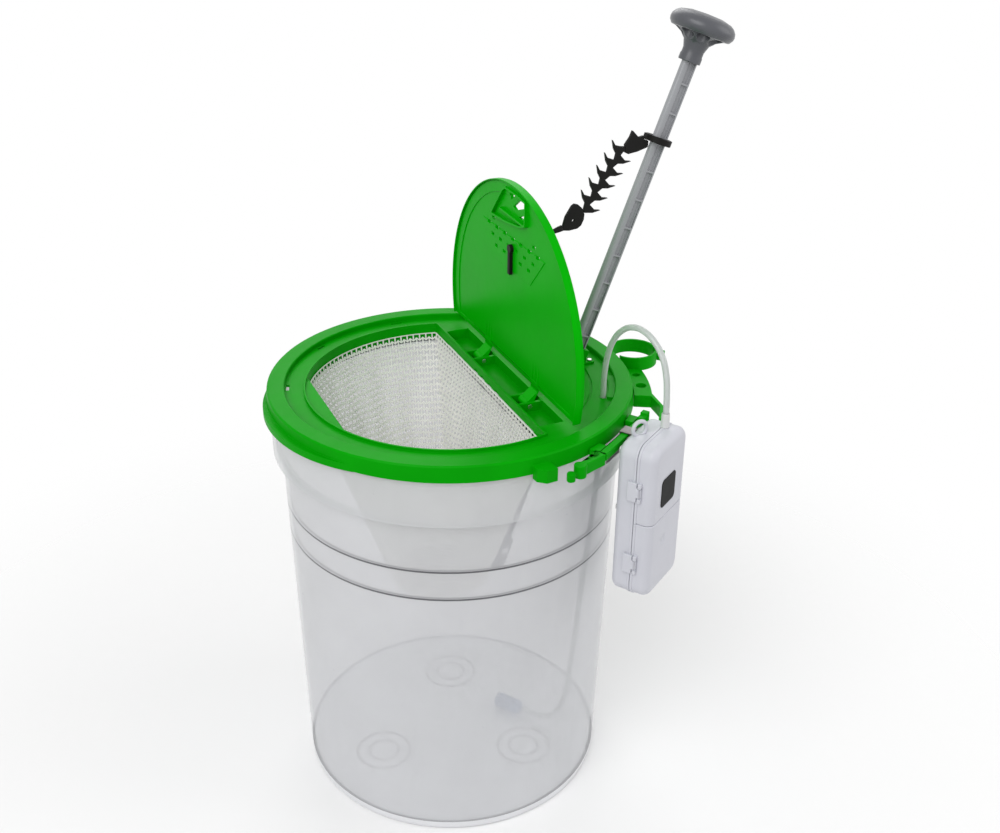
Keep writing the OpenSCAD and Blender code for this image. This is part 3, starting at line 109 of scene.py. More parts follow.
def moulded_skin_group():
    """The skin of a moulded part: faint mottling, uneven gloss and a fine orange-peel grain."""
    tree = bpy.data.node_groups.new("moulded skin", "ShaderNodeTree")
    for label, kind, value in (("Colour", "Color", (0.5, 0.5, 0.5, 1)), ("Mottle", "Float", 0.06),
                               ("Roughness", "Float", 0.35), ("Uneven", "Float", 0.1),
                               ("Grain Scale", "Float", 900)):
        socket = tree.interface.new_socket(label, in_out="INPUT", socket_type="NodeSocket" + kind)
        socket.default_value = value
    for label, kind in (("Colour", "Color"), ("Roughness", "Float"), ("Height", "Float")):
        tree.interface.new_socket(label, in_out="OUTPUT", socket_type="NodeSocket" + kind)
    given = tree.nodes.new("NodeGroupInput").outputs
    result = tree.nodes.new("NodeGroupOutput").inputs
    place = add(tree, "TexCoord").outputs["Object"]
    broad = add(tree, "TexNoise", {"Vector": place, "Scale": 24.0, "Detail": 4.0})
    fine = add(tree, "TexNoise", {"Vector": place, "Scale": 160.0, "Detail": 3.0})
    grain = add(tree, "TexNoise", {"Vector": place, "Scale": given["Grain Scale"], "Detail": 2.0})
    swing = add(tree, "MapRange", {"Value": broad.outputs["Fac"], "From Min": 0.3, "From Max": 0.7,
                                   "To Min": -1.0, "To Max": 1.0})
    shade = add(tree, "Math", {0: swing.outputs["Result"], 1: given["Mottle"], 2: 1.0},
                operation="MULTIPLY_ADD")
    tint = add(tree, "VectorMath", {0: given["Colour"], "Scale": shade.outputs["Value"]}, operation="SCALE")
    patch = add(tree, "Math", {0: fine.outputs["Fac"], 1: 0.5}, operation="SUBTRACT")
    rough = add(tree, "Math", {0: patch.outputs["Value"], 1: given["Uneven"], 2: given["Roughness"]},
                operation="MULTIPLY_ADD")
    tree.links.new(tint.outputs["Vector"], result["Colour"])
    tree.links.new(rough.outputs["Value"], result["Roughness"])
    tree.links.new(grain.outputs["Fac"], result["Height"])
    return tree


moulded_skin = moulded_skin_group()


def plastic(name, colour, roughness=0.35, mottle=0.06, uneven=0.12, grain=900.0, grain_depth=0.03,
            finish=()):
    """A moulded material: the shared skin, its grain this deep in millimetres, and fixed sockets."""
    material, tree, shader = new_material(name)
    skin = add(tree, "Group", node_tree=moulded_skin)
    for label, value in (("Colour", (*colour, 1)), ("Mottle", mottle), ("Roughness", roughness),
                         ("Uneven", uneven), ("Grain Scale", grain)):
        skin.inputs[label].default_value = value
    bump = add(tree, "Bump", {"Height": skin.outputs["Height"], "Strength": 1.0,
                              "Distance": grain_depth * MM})
    tree.links.new(skin.outputs["Colour"], shader.inputs["Base Color"])
    tree.links.new(skin.outputs["Roughness"], shader.inputs["Roughness"])
    tree.links.new(bump.outputs["Normal"], shader.inputs["Normal"])
    for socket, value in dict(finish).items():
        shader.inputs[socket].default_value = value
    return material


hose_silicone = plastic("hose silicone", (0.72, 0.75, 0.74), 0.22, 0.03,
                        finish={"Transmission Weight": 0.35, "IOR": 1.42})
hose_line = bpy.data.curves.new("air_hose_tube", "CURVE")
hose_line.dimensions = "3D"
hose_line.bevel_depth = hose_diameter / 2
hose_line.bevel_resolution = 5
hose_line.resolution_u = 8
hose_line.use_fill_caps = True
hose_spline = hose_line.splines.new("BEZIER")
hose_spline.bezier_points.add(len(hose_route) - 1)
for point, place in zip(hose_spline.bezier_points, hose_route):
    point.co = Vector(place) * MM
    point.handle_left_type = point.handle_right_type = "AUTO"
hose = show(bpy.data.objects.new("air_hose_tube", hose_line), hose_silicone, "lid")
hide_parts("air_hose")

# The hose's two ends: a soft tapered sleeve that grips the nozzle, and the air stone, a
# cylinder of bonded blue-grey grit on a short plastic stem, which lies on the bucket's floor.
pump_turn = Matrix.Rotation(math.radians(-55), 4, "Z")
nozzle_at = Vector((188.15, 20.25, 374.5)) * MM
sleeve_profile = [(1.75, 0.2), (3.3, 0.2), (3.55, 0.8), (3.5, 2), (3.4, 4), (3.4, 9), (3.2, 11.6),
                  (2.95, 12.3), (2.72, 12.3), (2.72, 3.2), (1.75, 3.1), (1.75, 0.2)]
stone_profile = [(0, 0.3), (1.9, 0.3), (2.3, 0.9), (2.3, 3.4), (4.6, 3.5), (6.3, 4.2), (6.95, 5.6),
                 (6.95, 27), (6.3, 28.6), (4.6, 29.4), (0, 29.5)]
stone_gap = 0.2


def turned(name, profile, steps=48):
    """A piece turned about Z from its (radius, height) profile, in millimetres."""
    bm = bmesh.new()
    corners = [bm.verts.new((radius * MM, 0, height * MM)) for radius, height in profile]
    edges = [bm.edges.new(pair) for pair in zip(corners, corners[1:])]
    bmesh.ops.spin(bm, geom=corners + edges, cent=(0, 0, 0), axis=(0, 0, 1), angle=math.tau,
                   steps=steps, use_merge=True)
    bmesh.ops.remove_doubles(bm, verts=bm.verts, dist=1e-6)
    bmesh.ops.recalc_face_normals(bm, faces=bm.faces)
    mesh = bpy.data.meshes.new(name)
    bm.to_mesh(mesh)
    bm.free()
    mesh.shade_smooth()
    return bpy.data.objects.new(name, mesh)


def laid_along(piece, start, way):
    """Lays a turned piece's mesh along a direction, from a place in metres."""
    turn = way.to_track_quat("Z", "Y").to_matrix().to_4x4()
    piece.data.transform(Matrix.Translation(start) @ turn)


def soften(piece, width, segments=2, angle=35):
    """Rounds a piece's edges by a width in millimetres and shades them evenly."""
    rounding = piece.modifiers.new("rounded edges", "BEVEL")
    rounding.width = width * MM
    rounding.segments = segments
    rounding.limit_method = "ANGLE"
    rounding.angle_limit = math.radians(angle)
    rounding.use_clamp_overlap = False
    rounding.loop_slide = False
    evening = piece.modifiers.new("even shading", "WEIGHTED_NORMAL")
    evening.keep_sharp = True
    return piece


sleeve_silicone = plastic("sleeve silicone", (0.8, 0.81, 0.8), 0.4, 0.04,
                          finish={"Transmission Weight": 0.15})
sleeve = turned("hose_sleeve_soft", sleeve_profile)
sleeve.data.transform(pump_turn @ Matrix.Translation(nozzle_at))
show(soften(sleeve, 0.2), sleeve_silicone, "lid")
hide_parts("hose_sleeve")

bonded_grit = plastic("bonded grit", (0.2, 0.27, 0.42), 0.95, 0.35, 0.0, 1400.0, 0.6)
stone = turned("air_stone_grit", stone_profile)
hose_end = Vector(hose_route[-1])
stone_way = (hose_end - Vector(hose_route[-2])).normalized()
laid_along(stone, (hose_end + stone_way * stone_gap) * MM, stone_way)
show(soften(stone, 0.3), bonded_grit, "lid")
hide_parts("air_stone")

# The bucket. One blow of milky white polyethylene, thin enough for the net to show through,
# with a stepped collar, three small rings on its floor outlined in painted shade, and two plain printed
# lines.
line_heights, line_half = (276.4 * MM, 250.1 * MM), 0.8 * MM
line_ink = (0.09, 0.09, 0.1, 1)
print_from_r, print_way, print_from = 137.2 * MM, (-0.366, -0.93, 0), 12 * MM
floor_top = 8.6 * MM
ring_turns, ring_out = (70, 190, 310), 76 * MM
ring_radii, ring_half = (24.4 * MM, 13.4 * MM), 1.3 * MM
# Painted shade: the grey of the thin circles that outline the floor's raised rings.
ring_shade_grey = (0.5, 0.5, 0.52, 1)
wall_cover, printed_cover = 0.42, 0.95
seam_gap, sliver, flat_turn = 3e-6, 5e-6, math.radians(0.5)


def milky_wall():
    """Milky plastic that is clear but for its printed lines and its thicker floor, whose rings are outlined
    in painted shade.
    """
    material = plastic("milky polyethylene", (0.8, 0.805, 0.83), 0.3, 0.02, 0.1, 300.0, 0.02)
    tree = material.node_tree
    shader = tree.nodes["Principled BSDF"]

    def mask(operation, *inputs):
        """One step of a mask or of its arithmetic."""
        return add(tree, "Math", dict(enumerate(inputs)), operation=operation).outputs["Value"]

    def measure(operation, *inputs):
        """A length that is measured on places of the surface."""
        return add(tree, "VectorMath", dict(enumerate(inputs)), operation=operation).outputs["Value"]

    place = add(tree, "TexCoord").outputs["Object"]
    height = add(tree, "SeparateXYZ", {"Vector": place}).outputs["Z"]
    outward = add(tree, "VectorMath", {0: place, 1: (1, 1, 0)}, operation="MULTIPLY").outputs["Vector"]
    printed = mask("MAXIMUM", *[mask("COMPARE", height, line, line_half) for line in line_heights])
    on_skin = mask("GREATER_THAN", measure("LENGTH", outward), print_from_r)
    in_front = mask("GREATER_THAN", measure("DOT_PRODUCT", place, print_way), print_from)
    ink = mask("MULTIPLY", printed, mask("MULTIPLY", on_skin, in_front))
    # Painted shade: a thin grey circle at each edge of the three raised floor rings, where shade would fall.
    rings = []
    for turn in ring_turns:
        angle = math.radians(turn)
        middle = (ring_out * math.cos(angle), ring_out * math.sin(angle), 0)
        away = measure("DISTANCE", outward, middle)
        rings += [mask("COMPARE", away, radius, ring_half) for radius in ring_radii]
    ring_shade_mask = rings[0]
    for ring in rings[1:]:
        ring_shade_mask = mask("MAXIMUM", ring_shade_mask, ring)
    on_floor = mask("LESS_THAN", height, floor_top)
    colour = shader.inputs["Base Color"].links[0].from_socket
    for where, tone in ((ink, line_ink), (mask("MULTIPLY", ring_shade_mask, on_floor), ring_shade_grey)):
        colour = add(tree, "Mix", {0: where, 6: colour, 7: tone}, data_type="RGBA").outputs[2]
    tree.links.new(colour, shader.inputs["Base Color"])
    solid = mask("MAXIMUM", ink, on_floor)
    cover = add(tree, "MapRange", {"Value": solid, "To Min": wall_cover, "To Max": printed_cover})
    tree.links.new(cover.outputs["Result"], shader.inputs["Alpha"])
    return material


def rounded_copy(name, node, body, material, width, segments=2, angle=35):
    """A rigid CAD part with its seams merged and its edges rounded."""
    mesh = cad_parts[node].data.copy()
    mesh.name = name
    bm = bmesh.new()
    bm.from_mesh(mesh)
    bmesh.ops.remove_doubles(bm, verts=bm.verts, dist=seam_gap)
    bmesh.ops.dissolve_degenerate(bm, edges=bm.edges, dist=sliver)
    bmesh.ops.dissolve_limit(bm, angle_limit=flat_turn, verts=bm.verts, edges=bm.edges)
    for face in bm.faces:
        face.smooth = True
    bm.to_mesh(mesh)
    bm.free()
    piece = bpy.data.objects.new(name, mesh)
    show(soften(piece, width, segments, angle), material, body)
    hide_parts(node)
    return piece


rounded_copy("bucket_wall", "bucket_shell", "bucket", milky_wall(), 0.3, 2, 30)

# The lid. A green snap-on moulding: skirt, flat rim, sunken deck with drain slots, the lip of
# the window and the trough that the door's hinge lies in, and the guide screwed on for the rod.
green = plastic("green lid plastic", (0.001, 0.34, 0.001), 0.4, 0.06, 0.15, 500.0, 0.006,
                finish={"Specular IOR Level": 0.05})
rounded_copy("lid_moulding", "lid_ring", "lid", green, 0.25, 2, 30)
rounded_copy("rod_guide_moulding", "rod_guide", "lid", green, 0.5)

# The tool holder and the hanger, both of the lid's green plastic: the spring ring and hooked
# arm stand off the skirt on one side, and the pump's bar stands off it on two bosses.
rounded_copy("tool_holder_moulding", "tool_holder", "lid", green, 0.5)
rounded_copy("pump_hanger_moulding", "pump_hanger", "lid", green, 0.7)

# The door. A brighter flat moulding with a stepped rounded border, rows of vent slots and the
# frame of its finger latch on the underside, and two ribbed knuckles on steel pins.
door_green = plastic("green door plastic", (0.0005, 0.42, 0.0005), 0.35, 0.04, 0.12, 500.0, 0.006,
                     finish={"Specular IOR Level": 0.05})
rounded_copy("door_moulding", "door_panel", "door", door_green, 0.22, 2, 30)
steel = plastic("plain steel", (0.55, 0.55, 0.56), 0.32, 0.08, 0.25, 1500.0, 0.01, finish={"Metallic": 1.0})
for name, node in (("hinge_pin_pair", "hinge_pins"), ("guide_screw_pair", "guide_screws")):
    rounded_copy(name, node, "lid", steel, 0.25)

# The net. White knotless netting, knitted in six-sided cells and gathered into a bag, hung
# from a grey frame under the window and tied round the plate at its bottom.
grey = plastic("grey nylon", (0.13, 0.135, 0.15), 0.42, 0.06, 0.2, 800.0, 0.01)
rounded_copy("net_frame_moulding", "net_frame", "lid", grey, 0.6)
window_r, hinge_side, far_side, mouth_x = 121.0, 32.5, 108.5, -40.0
mouth_gap, mouth_z = 1.0, 366.5
foot_plate_r, foot_r = 40.0, 40.3
foot_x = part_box("net_foot")[0].x / MM + foot_plate_r
net_low, net_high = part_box("net_bag")
cells_round, cells_down, cell_lean = 112, 36, 0.22
strand_w, strand_d = 1.1 * MM, 0.88 * MM
rim_slack, belly = 3.2, 6.0
gathers = ((1.6, 9, 5), (1.1, 23, -7))
edge_steps = 720


def mouth_reach(turn):
    """Distance from the mouth's middle to the net's edge, in millimetres."""
    across, radius = math.cos(turn), window_r - mouth_gap
    reach = -mouth_x * across + math.sqrt((mouth_x * across) ** 2 - mouth_x ** 2 + radius ** 2)
    if across > 0.01:
        reach = min(reach, (hinge_side - mouth_gap - mouth_x) / across)
    if across < -0.01:
        reach = min(reach, (far_side - mouth_gap + mouth_x) / -across)
    return reach


edge_turns = [math.tau * i / edge_steps for i in range(edge_steps + 1)]
edge_points = [Vector((mouth_reach(t) * math.cos(t), mouth_reach(t) * math.sin(t))) for t in edge_turns]
edge_sums = [0.0]
for before, after in zip(edge_points, edge_points[1:]):
    edge_sums.append(edge_sums[-1] + (after - before).length)


def turn_at(share):
    """The direction at a share of the way round the mouth, measured along its edge."""
    goal = share % 1.0 * edge_sums[-1]
    i = next(k for k in range(edge_steps) if edge_sums[k + 1] >= goal)
    part = (goal - edge_sums[i]) / (edge_sums[i + 1] - edge_sums[i])
    return edge_turns[i] + part * math.tau / edge_steps


def net_place(share, down):
    """A point of the net, a share of the way round and a share of the way down."""
    turn = turn_at(share) * (1 - down) + share % 1.0 * math.tau * down
    swell = math.sin(math.pi * down)
    slack = rim_slack * min(1, 9 * down) + belly * swell * (1 - down)
    gather = swell * sum(deep * math.sin(count * turn + twist * down) for deep, count, twist in gathers)
    reach = mouth_reach(turn) * (1 - down) + foot_r * down + slack + gather
    middle = mouth_x * (1 - down) + foot_x * down
    height = mouth_z * MM * (1 - down) + net_low.z * down
    return Vector(((middle + reach * math.cos(turn)) * MM, reach * math.sin(turn) * MM, height))


columns = cells_round * 2
bm = bmesh.new()
bmesh.ops.create_grid(bm, x_segments=columns, y_segments=cells_down, size=0.5)
knots = {v: (round((v.co.x + 0.5) * columns), round((0.5 - v.co.y) * cells_down)) for v in bm.verts}
bars = [e for e in bm.edges if knots[e.verts[0]][0] == knots[e.verts[1]][0]
        and (knots[e.verts[0]][0] + min(knots[v][1] for v in e.verts)) % 2]
for v, (i, j) in knots.items():
    lean = cell_lean if (i + j) % 2 else -cell_lean
    v.co = net_place(i / columns, (j + lean * (0 < j < cells_down)) / cells_down)
bmesh.ops.dissolve_edges(bm, edges=bars, use_verts=False)
bmesh.ops.remove_doubles(bm, verts=bm.verts, dist=1e-5)
bmesh.ops.recalc_face_normals(bm, faces=bm.faces)
rims = bmesh.ops.inset_individual(bm, faces=bm.faces[:], thickness=strand_w / 2, use_even_offset=True)
ribbons = set(rims["faces"])
bmesh.ops.delete(bm, geom=[f for f in bm.faces if f not in ribbons], context="FACES")
bmesh.ops.recalc_face_normals(bm, faces=bm.faces)
bmesh.ops.solidify(bm, geom=bm.faces[:], thickness=strand_d)
net_mesh = bpy.data.meshes.new("net_strands")
bm.to_mesh(net_mesh)
bm.free()
yarn = plastic("white yarn", (0.86, 0.855, 0.82), 0.8, 0.04, 0.1, 1800.0, 0.02, finish={"Sheen Weight": 0.25})
net = show(bpy.data.objects.new("net_strands", net_mesh), yarn, None)
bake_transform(net)
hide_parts("net_bag")

# The net's two cords: a thick thread hems its mouth under the frame, and another ties its
# bottom edge round the foot plate.
cord_r = 0.55 * MM
hem_points, tie_points = 180, 72
tie_r, tie_rise = foot_r + 0.7, 1.4


def cord_loop(name, places, body):
    """A closed thread through a ring of points."""
    line = bpy.data.curves.new(name, "CURVE")
    line.dimensions = "3D"
    line.bevel_depth = cord_r
    line.bevel_resolution = 3
    spline = line.splines.new("POLY")
    spline.points.add(len(places) - 1)
    for point, place in zip(spline.points, places):
        point.co = (*place, 1)
    spline.use_cyclic_u = True
    show(bpy.data.objects.new(name, line), yarn, body)


hem_drop = Vector((0, 0, cord_r * 1.2))
cord_loop("net_hem", [net_place(i / hem_points, 0) - hem_drop for i in range(hem_points)], "lid")
tie_turns = [math.tau * i / tie_points for i in range(tie_points)]
tie_ring = [Vector((foot_x + tie_r * math.cos(turn), tie_r * math.sin(turn), net_low.z / MM + tie_rise)) * MM
            for turn in tie_turns]
cord_loop("net_foot_cord", tie_ring, "rod")

# The lift rod, moulded in grey with a half-round spine, a channel and cross ribs, its
# mushroom knob, and the plate at the net's bottom that its lower end is pinned to.
rod_grey = plastic("grey rod plastic", (0.33, 0.335, 0.355), 0.25, 0.06, 0.2, 800.0, 0.008)
knob_grey = plastic("grey knob plastic", (0.085, 0.088, 0.1), 0.34, 0.06, 0.2, 700.0, 0.008)
rounded_copy("lift_rod_moulding", "lift_rod", "rod", rod_grey, 0.3)
rounded_copy("knob_moulding", "rod_knob", "rod", knob_grey, 0.7, 3)
rounded_copy("net_foot_moulding", "net_foot", "rod", grey, 0.5)
rounded_copy("foot_pin_turned", "foot_pin", "rod", steel, 0.3)

# The strap. One black rubber moulding: a collar that slips over the rod, a shoulder, a spiky
# zigzag that stretches, a lower paddle and a neck that is pulled through the door.
rubber = plastic("black rubber", (0.007, 0.0065, 0.006), 0.55, 0.15, 0.2, 900.0, 0.03,
                 finish={"Specular IOR Level": 0.15})
for node, body, width in (("strap_collar", "rod", 0.3), ("strap_shoulder", "strap_upper", 0.4),
                          ("strap_paddle", "strap_end", 0.4), ("strap_tail", "door", 0.3)):
    rounded_copy(node + "_soft", node, body, rubber, width)
zigzag = rounded_copy("strap_zigzag_soft", "strap_zigzag", None, rubber, 0.35)
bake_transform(zigzag)
neck_low, neck_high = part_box("strap_neck")
neck_start = Vector((neck_high.x + 0.6 * MM, 0, neck_high.z - 1.2 * MM))
neck_end = Vector((neck_low.x, 0, neck_low.z + 1.9 * MM))
neck_way = neck_end - neck_start
neck_profile = [(0, 0), (2.6, 0.1), (2.5, 3), (2.1, 7), (1.9, 14), (1.8, 24), (1.9, 32),
                (2.3, neck_way.length / MM)]
neck = turned("strap_neck_soft", neck_profile, 24)
laid_along(neck, neck_start, neck_way)
show(neck, rubber, "strap_end")
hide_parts("strap_neck")

# The pump's case. Three white mouldings with wide rounded corners: a rear shell, an upper front
# cover over the works, and a battery cover that swings on a pin. Each has a raised rim, so that
# a double ridge runs round the case where they meet.
pump_x, part_x, pump_front = 169.0, 186.5, 202.0
pump_left, pump_right = -23.5, 36.5
pump_low, pump_top, seam_z = 239.0, 374.5, 308.0
case_corner, case_wall, case_gap = 11.0, 2.0, 0.4
rear_rounding, front_rounding, seam_rounding = 6.0, 7.0, 0.9
ridge_w, ridge_h = 2.2, 0.7
pin_y, knuckle_r, leaf_w, leaf_root = pump_right + 2.8, 2.4, 5.0, 0.5
rear_knuckles, cover_knuckle = ((8, 20), (48, 60)), (20.4, 47.6)
ear_from, ear_to, ear_d, ear_root = part_x + 2.5, part_x + 5.5, 3.0, 0.6
ear_rises, ear_h = (0, 13), 4
hinge_rounding, ear_rounding = 0.4, 0.6
upper_latch_z, lower_latch_z = pump_low + 89.5, pump_low + 23.5
rear_open, front_open = part_x - case_gap / 2, part_x + case_gap / 2
upper_seam, lower_seam = seam_z + case_gap / 2, seam_z - case_gap / 2
white = plastic("white pump plastic", (0.63, 0.635, 0.69), 0.38, 0.02, 0.15, 600.0, 0.006,
                finish={"Specular IOR Level": 0.3})


def close_to(value, goal):
    """Whether a coordinate lies on a plane, in millimetres."""
    return abs(value - goal) < 0.05


def runs_deep(edge):
    """Whether an edge runs from the case's back to its front."""
    return abs(edge.verts[0].co.x - edge.verts[1].co.x) > 1


def box_between(bm, low, high):
    """A plain box from one corner to the other, whose corners are given back."""
    made = bmesh.ops.create_cube(bm, size=1)["verts"]
    low, high = Vector(low), Vector(high)
    bmesh.ops.scale(bm, vec=high - low, verts=made)
    bmesh.ops.translate(bm, vec=(low + high) / 2, verts=made)
    return made


def round_off(bm, edges, width, segments):
    """Rounds edges by a width in millimetres."""
    bmesh.ops.bevel(bm, geom=edges, offset=width, offset_type="OFFSET", segments=segments, profile=0.5,
                    affect="EDGES", material=-1)


def case_half(open_x, closed_x, rounding, low_z, high_z):
    """A round-cornered box, open at one side, domed at the other, cut between two heights."""
    bm = bmesh.new()
    back, front = sorted((open_x, closed_x))
    box_between(bm, (back, pump_left, pump_low), (front, pump_right, pump_top))
    round_off(bm, [e for e in bm.edges if runs_deep(e)], case_corner, 10)
    round_off(bm, [e for e in bm.edges if all(close_to(v.co.x, closed_x) for v in e.verts)], rounding, 7)
    for height, way in ((low_z, -1), (high_z, 1)):
        if pump_low < height < pump_top:
            cut = bmesh.ops.bisect_plane(bm, geom=bm.verts[:] + bm.edges[:] + bm.faces[:], dist=0.001,
                                         plane_co=(0, 0, height), plane_no=(0, 0, way), clear_outer=True)
            seam = [g for g in cut["geom_cut"] if isinstance(g, bmesh.types.BMEdge)]
            cap = bmesh.ops.edgeloop_fill(bm, edges=seam)
            round_off(bm, [e for f in cap["faces"] for e in f.edges], seam_rounding, 3)
    bm.normal_update()
    bmesh.ops.delete(bm, geom=[f for f in bm.faces if all(close_to(v.co.x, open_x) for v in f.verts)],
                     context="FACES_ONLY")
    return bm


def hollowed(bm):
    """Gives an open half its wall, inwards."""
    bmesh.ops.recalc_face_normals(bm, faces=bm.faces)
    bmesh.ops.solidify(bm, geom=bm.faces[:], thickness=case_wall)
    return bm


def block(bm, low, high, rounding):
    """A block with rounded edges, from one corner to the other."""
    made = box_between(bm, low, high)
    round_off(bm, list({e for v in made for e in v.link_edges}), rounding, 3)


def knuckle(bm, side, low, high):
    """A hinge knuckle and its leaf, on the rear half (-1) or the front one (1)."""
    made = bmesh.ops.create_cone(bm, cap_ends=True, segments=32, radius1=knuckle_r, radius2=knuckle_r,
                                 depth=high - low)["verts"]
    bmesh.ops.translate(bm, vec=(part_x, pin_y, (low + high) / 2), verts=made)
    ends = [e for e in {e for v in made for e in v.link_edges} if close_to(e.verts[0].co.z, e.verts[1].co.z)]
    round_off(bm, ends, hinge_rounding, 2)
    back, front = sorted((part_x + side * case_gap / 2, part_x + side * leaf_w))
    block(bm, (back, pump_right - leaf_root, low), (front, pin_y, high), hinge_rounding)


def latch_ears(bm, low):
    """The two ears that a side latch turns between."""
    for rise in ear_rises:
        block(bm, (ear_from, pump_left - ear_d, low + rise),
              (ear_to, pump_left + ear_root, low + rise + ear_h), ear_rounding)


def ridge(bm, open_x, way, low, high):
    """The raised rim round the open side of a half, a rounded band along its parting line."""
    piece = bmesh.new()
    back, front = sorted((open_x, open_x + way * ridge_w))
    box_between(piece, (back, pump_left - ridge_h, low - ridge_h),
                (front, pump_right + ridge_h, high + ridge_h))
    ends = (pump_low - ridge_h, pump_top + ridge_h)
    at_ends = [e for e in piece.edges if any(close_to(e.verts[0].co.z, z) for z in ends)]
    round_off(piece, [e for e in at_ends if runs_deep(e)], case_corner + ridge_h, 10)
    flats = [f for f in piece.faces if abs(f.normal.x) > 0.99]
    bmesh.ops.inset_individual(piece, faces=flats, thickness=ridge_h + case_wall / 2, use_even_offset=True)
    sides = [list(f.edges) for f in flats]
    bmesh.ops.delete(piece, geom=flats, context="FACES_ONLY")
    bmesh.ops.bridge_loops(piece, edges=sides[0] + sides[1])
    rounded = [e for e in piece.edges if len(e.link_faces) == 2 and e.calc_face_angle(0) > 1.2
               and abs(e.verts[0].co.x - e.verts[1].co.x) < 0.01]
    round_off(piece, rounded, ridge_h * 0.7, 3)
    bmesh.ops.recalc_face_normals(piece, faces=piece.faces)
    made = bpy.data.meshes.new("ridge")
    piece.to_mesh(made)
    piece.free()
    bm.from_mesh(made)
    bpy.data.meshes.remove(made)


def cased(name, bm, body, node):
    """Turns a part of the case to its place and finishes it."""
    mesh = bpy.data.meshes.new(name)
    bm.to_mesh(mesh)
    bm.free()
    mesh.transform(pump_turn @ Matrix.Scale(MM, 4))
    mesh.shade_smooth()
    piece = bpy.data.objects.new(name, mesh)
    show(soften(piece, 0.25), white, body)
    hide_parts(node)


rear = hollowed(case_half(rear_open, pump_x, rear_rounding, pump_low, pump_top))
ridge(rear, rear_open, -1, pump_low, pump_top)
for low, high in rear_knuckles:
    knuckle(rear, -1, pump_low + low, pump_low + high)
cased("pump_rear_moulding", rear, "lid", "pump_rear_shell")
front = hollowed(case_half(front_open, pump_front, front_rounding, upper_seam, pump_top))
ridge(front, front_open, 1, upper_seam + ridge_h, pump_top)
latch_ears(front, upper_latch_z)
cased("pump_front_moulding", front, "lid", "pump_front_cover")

# The battery cover has a shallow thumb dish in its face; it hangs on one long knuckle between
# the rear shell's two, and carries the ears of the lower latch.
dish_at, dish_half = Vector((pump_front, 0.5, pump_low + 47)), 5.2
dish_corner = 3.4
dish_steps = ((0.8, -0.25), (1.4, -0.4), (1.5, -0.2))
battery = case_half(front_open, pump_front, front_rounding, pump_low, lower_seam)


def front_faces(bm, near=None):
    """The flat faces at the cover's front, or only those that lie near a place."""
    flat = [f for f in bm.faces if f.normal.x > 0.99 and close_to(f.calc_center_median().x, pump_front)]
    return [f for f in flat if near is None or (f.calc_center_median() - near).length < 1]


for axis in (1, 2):
    for side in (-1, 1):
        place, normal = [0, 0, 0], [0, 0, 0]
        place[axis], normal[axis] = dish_at[axis] + side * dish_half, 1
        face = front_faces(battery)
        parts = face + list({e for f in face for e in f.edges}) + list({v for f in face for v in f.verts})
        bmesh.ops.bisect_plane(battery, geom=parts, dist=0.001, plane_co=place, plane_no=normal)
battery.normal_update()
bmesh.ops.bevel(battery, geom=[v for f in front_faces(battery, dish_at) for v in f.verts], offset=dish_corner,
                offset_type="OFFSET", segments=5, profile=0.5, affect="VERTICES", material=-1)
battery.normal_update()
dish = front_faces(battery, dish_at)
for inward, depth in dish_steps:
    bmesh.ops.inset_region(battery, faces=dish, thickness=inward, depth=depth, use_even_offset=True)
hollowed(battery)
ridge(battery, front_open, 1, pump_low, lower_seam - ridge_h)
knuckle(battery, 1, pump_low + cover_knuckle[0], pump_low + cover_knuckle[1])
latch_ears(battery, lower_latch_z)
cased("battery_cover_moulding", battery, "cover", "battery_cover")

# The small parts on the case: its two side latches, the loop for a neck cord, the barbed
# nozzle, all of the case's white plastic, and the wire that the battery cover swings on.
for node, body, width, segments in (("upper_latch", "latch_high", 0.8, 3),
                                    ("lower_latch", "latch_low", 0.8, 3),
                                    ("lanyard_loop", "lid", 0.3, 2)):
    rounded_copy(node + "_moulding", node, body, white, width, segments)
rounded_copy("nozzle_moulding", "air_nozzle", "lid", white, 0.2)
rounded_copy("cover_pin_wire", "cover_pin", "lid", steel, 0.2)

# On the case's faces: a bare dark plate in a thin pale border, the grey switch button, and on
# its back the sprung steel clip and its screws.
bare_plate = plastic("dark bare plate", (0.004, 0.004, 0.004), 0.4, 0.1, 0.1, 1200.0, 0.006,
                     finish={"Specular IOR Level": 0.05})
button_rubber = plastic("grey button rubber", (0.16, 0.165, 0.18), 0.5)
clip_steel = plastic("sprung clip steel", (0.2, 0.19, 0.185), 0.38, 0.1, 0.25, 1500.0, 0.01,
                     finish={"Metallic": 1.0})
rounded_copy("plate_bare", "label_plate", "lid", bare_plate, 0.2)
rounded_copy("switch_button_moulding", "switch_button", "button", button_rubber, 0.6, 3)
rounded_copy("belt_clip_bent", "belt_clip", "lid", clip_steel, 0.35)
for name, node in (("clip_screw_pair", "clip_screws"), ("case_screw_set", "case_screws")):
    rounded_copy(name, node, "lid", steel, 0.3)

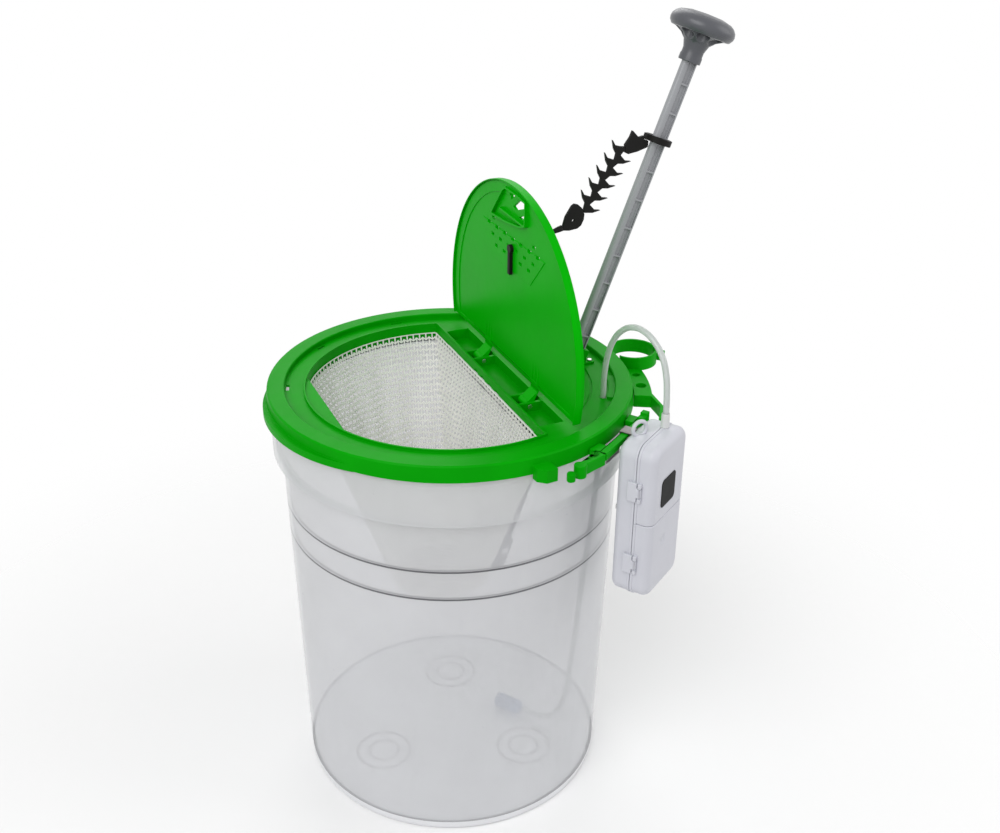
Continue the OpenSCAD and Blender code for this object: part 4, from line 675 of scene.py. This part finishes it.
# The works inside the case, which the open battery cover and the parted shells show: motor in
# its cradle, eccentric, rocking arm, diaphragm, air chamber and tube, switch, cells and springs.
brass = plastic("turned brass", (0.62, 0.42, 0.14), 0.3, 0.1, 0.2, 1500.0, 0.01, finish={"Metallic": 1.0})
cell_wrap = plastic("cell wrap", (0.05, 0.055, 0.07), 0.3, 0.1)
dark = plastic("dark switch plastic", (0.02, 0.02, 0.02), 0.45)
clear = plastic("clear silicone", (0.72, 0.72, 0.7), 0.4, 0.03, finish={"Transmission Weight": 0.2})
for node, body, slot, material, width in (
        ("motor", "lid", "steel", steel, 0.4), ("motor_mount", "lid", "grey", grey, 0.4),
        ("eccentric", "cam", "brass", brass, 0.3), ("diaphragm_arm", "lid", "pump_white", white, 0.3),
        ("diaphragm", "lid", "rubber", rubber, 0.4), ("air_chamber", "lid", "pump_white", white, 0.4),
        ("chamber_tube", "lid", "silicone", clear, 0.3), ("battery_cells", "lid", "cell", cell_wrap, 0.6),
        ("battery_contacts", "lid", "steel", steel, 0.2), ("contact_springs", "lid", "steel", steel, 0.2),
        ("switch_body", "lid", "dark", dark, 0.4), ("pump_seal", "lid", "silicone", clear, 0.2)):
    rounded_copy(node + "_works", node, body, material, width)

# The studio: a pale floor that fades into a white surround, a wide soft light from the upper
# left, two weaker ones from the right and from behind, and even light all round.
floor_r, floor_drop = 3.0, 0.0005
fade_from, fade_to = 0.25, 0.75
lamps = (("key", (-1.1, -1.0, 1.7), 1.4, 21), ("fill", (1.5, -0.7, 1.0), 1.2, 7),
         ("back", (0.5, 1.5, 1.5), 1.2, 8))
lit_point = Vector((0, 0, 0.3))
floor_mesh = bpy.data.meshes.new("floor")
bm = bmesh.new()
bmesh.ops.create_circle(bm, cap_ends=True, segments=96, radius=floor_r)
bmesh.ops.translate(bm, vec=(0, 0, -floor_drop), verts=bm.verts)
bm.to_mesh(floor_mesh)
bm.free()
floor = bpy.data.objects.new("floor", floor_mesh)
bpy.context.scene.collection.objects.link(floor)
pale_floor, floor_tree, floor_shader = new_material("pale floor")
floor_shader.inputs["Base Color"].default_value = (0.96, 0.96, 0.96, 1)
floor_shader.inputs["Roughness"].default_value = 0.9
floor_shader.inputs["Specular IOR Level"].default_value = 0.1
floor_mesh.materials.append(pale_floor)
floor_place = add(floor_tree, "TexCoord").outputs["Object"]
far = add(floor_tree, "VectorMath", {0: floor_place}, operation="LENGTH")
fade = add(floor_tree, "MapRange", {"Value": far.outputs["Value"], "From Min": fade_from,
                                    "From Max": fade_to}, interpolation_type="SMOOTHSTEP")
through = add(floor_tree, "BsdfTransparent")
shown = add(floor_tree, "MixShader", {0: fade.outputs["Result"], 1: floor_shader.outputs["BSDF"],
                                      2: through.outputs["BSDF"]})
floor_tree.links.new(shown.outputs["Shader"], floor_tree.nodes["Material Output"].inputs["Surface"])

world = bpy.data.worlds.new("even light")
world.use_nodes = True
bpy.context.scene.world = world
world_tree = world.node_tree
even = world_tree.nodes["Background"]
even.inputs["Color"].default_value = (1, 1, 1, 1)
even.inputs["Strength"].default_value = 0.55
seen = add(world_tree, "Background", {"Color": (1, 1, 1, 1), "Strength": 1.0})
path = add(world_tree, "LightPath").outputs
direct = add(world_tree, "Math", {0: path["Is Camera Ray"], 1: path["Is Transmission Ray"]},
             operation="MAXIMUM")
any_seen = add(world_tree, "Math", {0: direct.outputs["Value"], 1: path["Is Glossy Ray"]},
               operation="MAXIMUM")
mixed = add(world_tree, "MixShader", {0: any_seen.outputs["Value"], 1: even.outputs["Background"],
                                      2: seen.outputs["Background"]})
world_tree.links.new(mixed.outputs["Shader"], world_tree.nodes["World Output"].inputs["Surface"])
for name, place, size, power in lamps:
    lamp = bpy.data.lights.new(name, "AREA")
    lamp.size = size
    lamp.energy = power
    stand = bpy.data.objects.new(name, lamp)
    stand.location = place
    stand.rotation_euler = (lit_point - Vector(place)).to_track_quat("-Z", "Y").to_euler()
    bpy.context.scene.collection.objects.link(stand)
bpy.context.scene.view_settings.view_transform = "Standard"
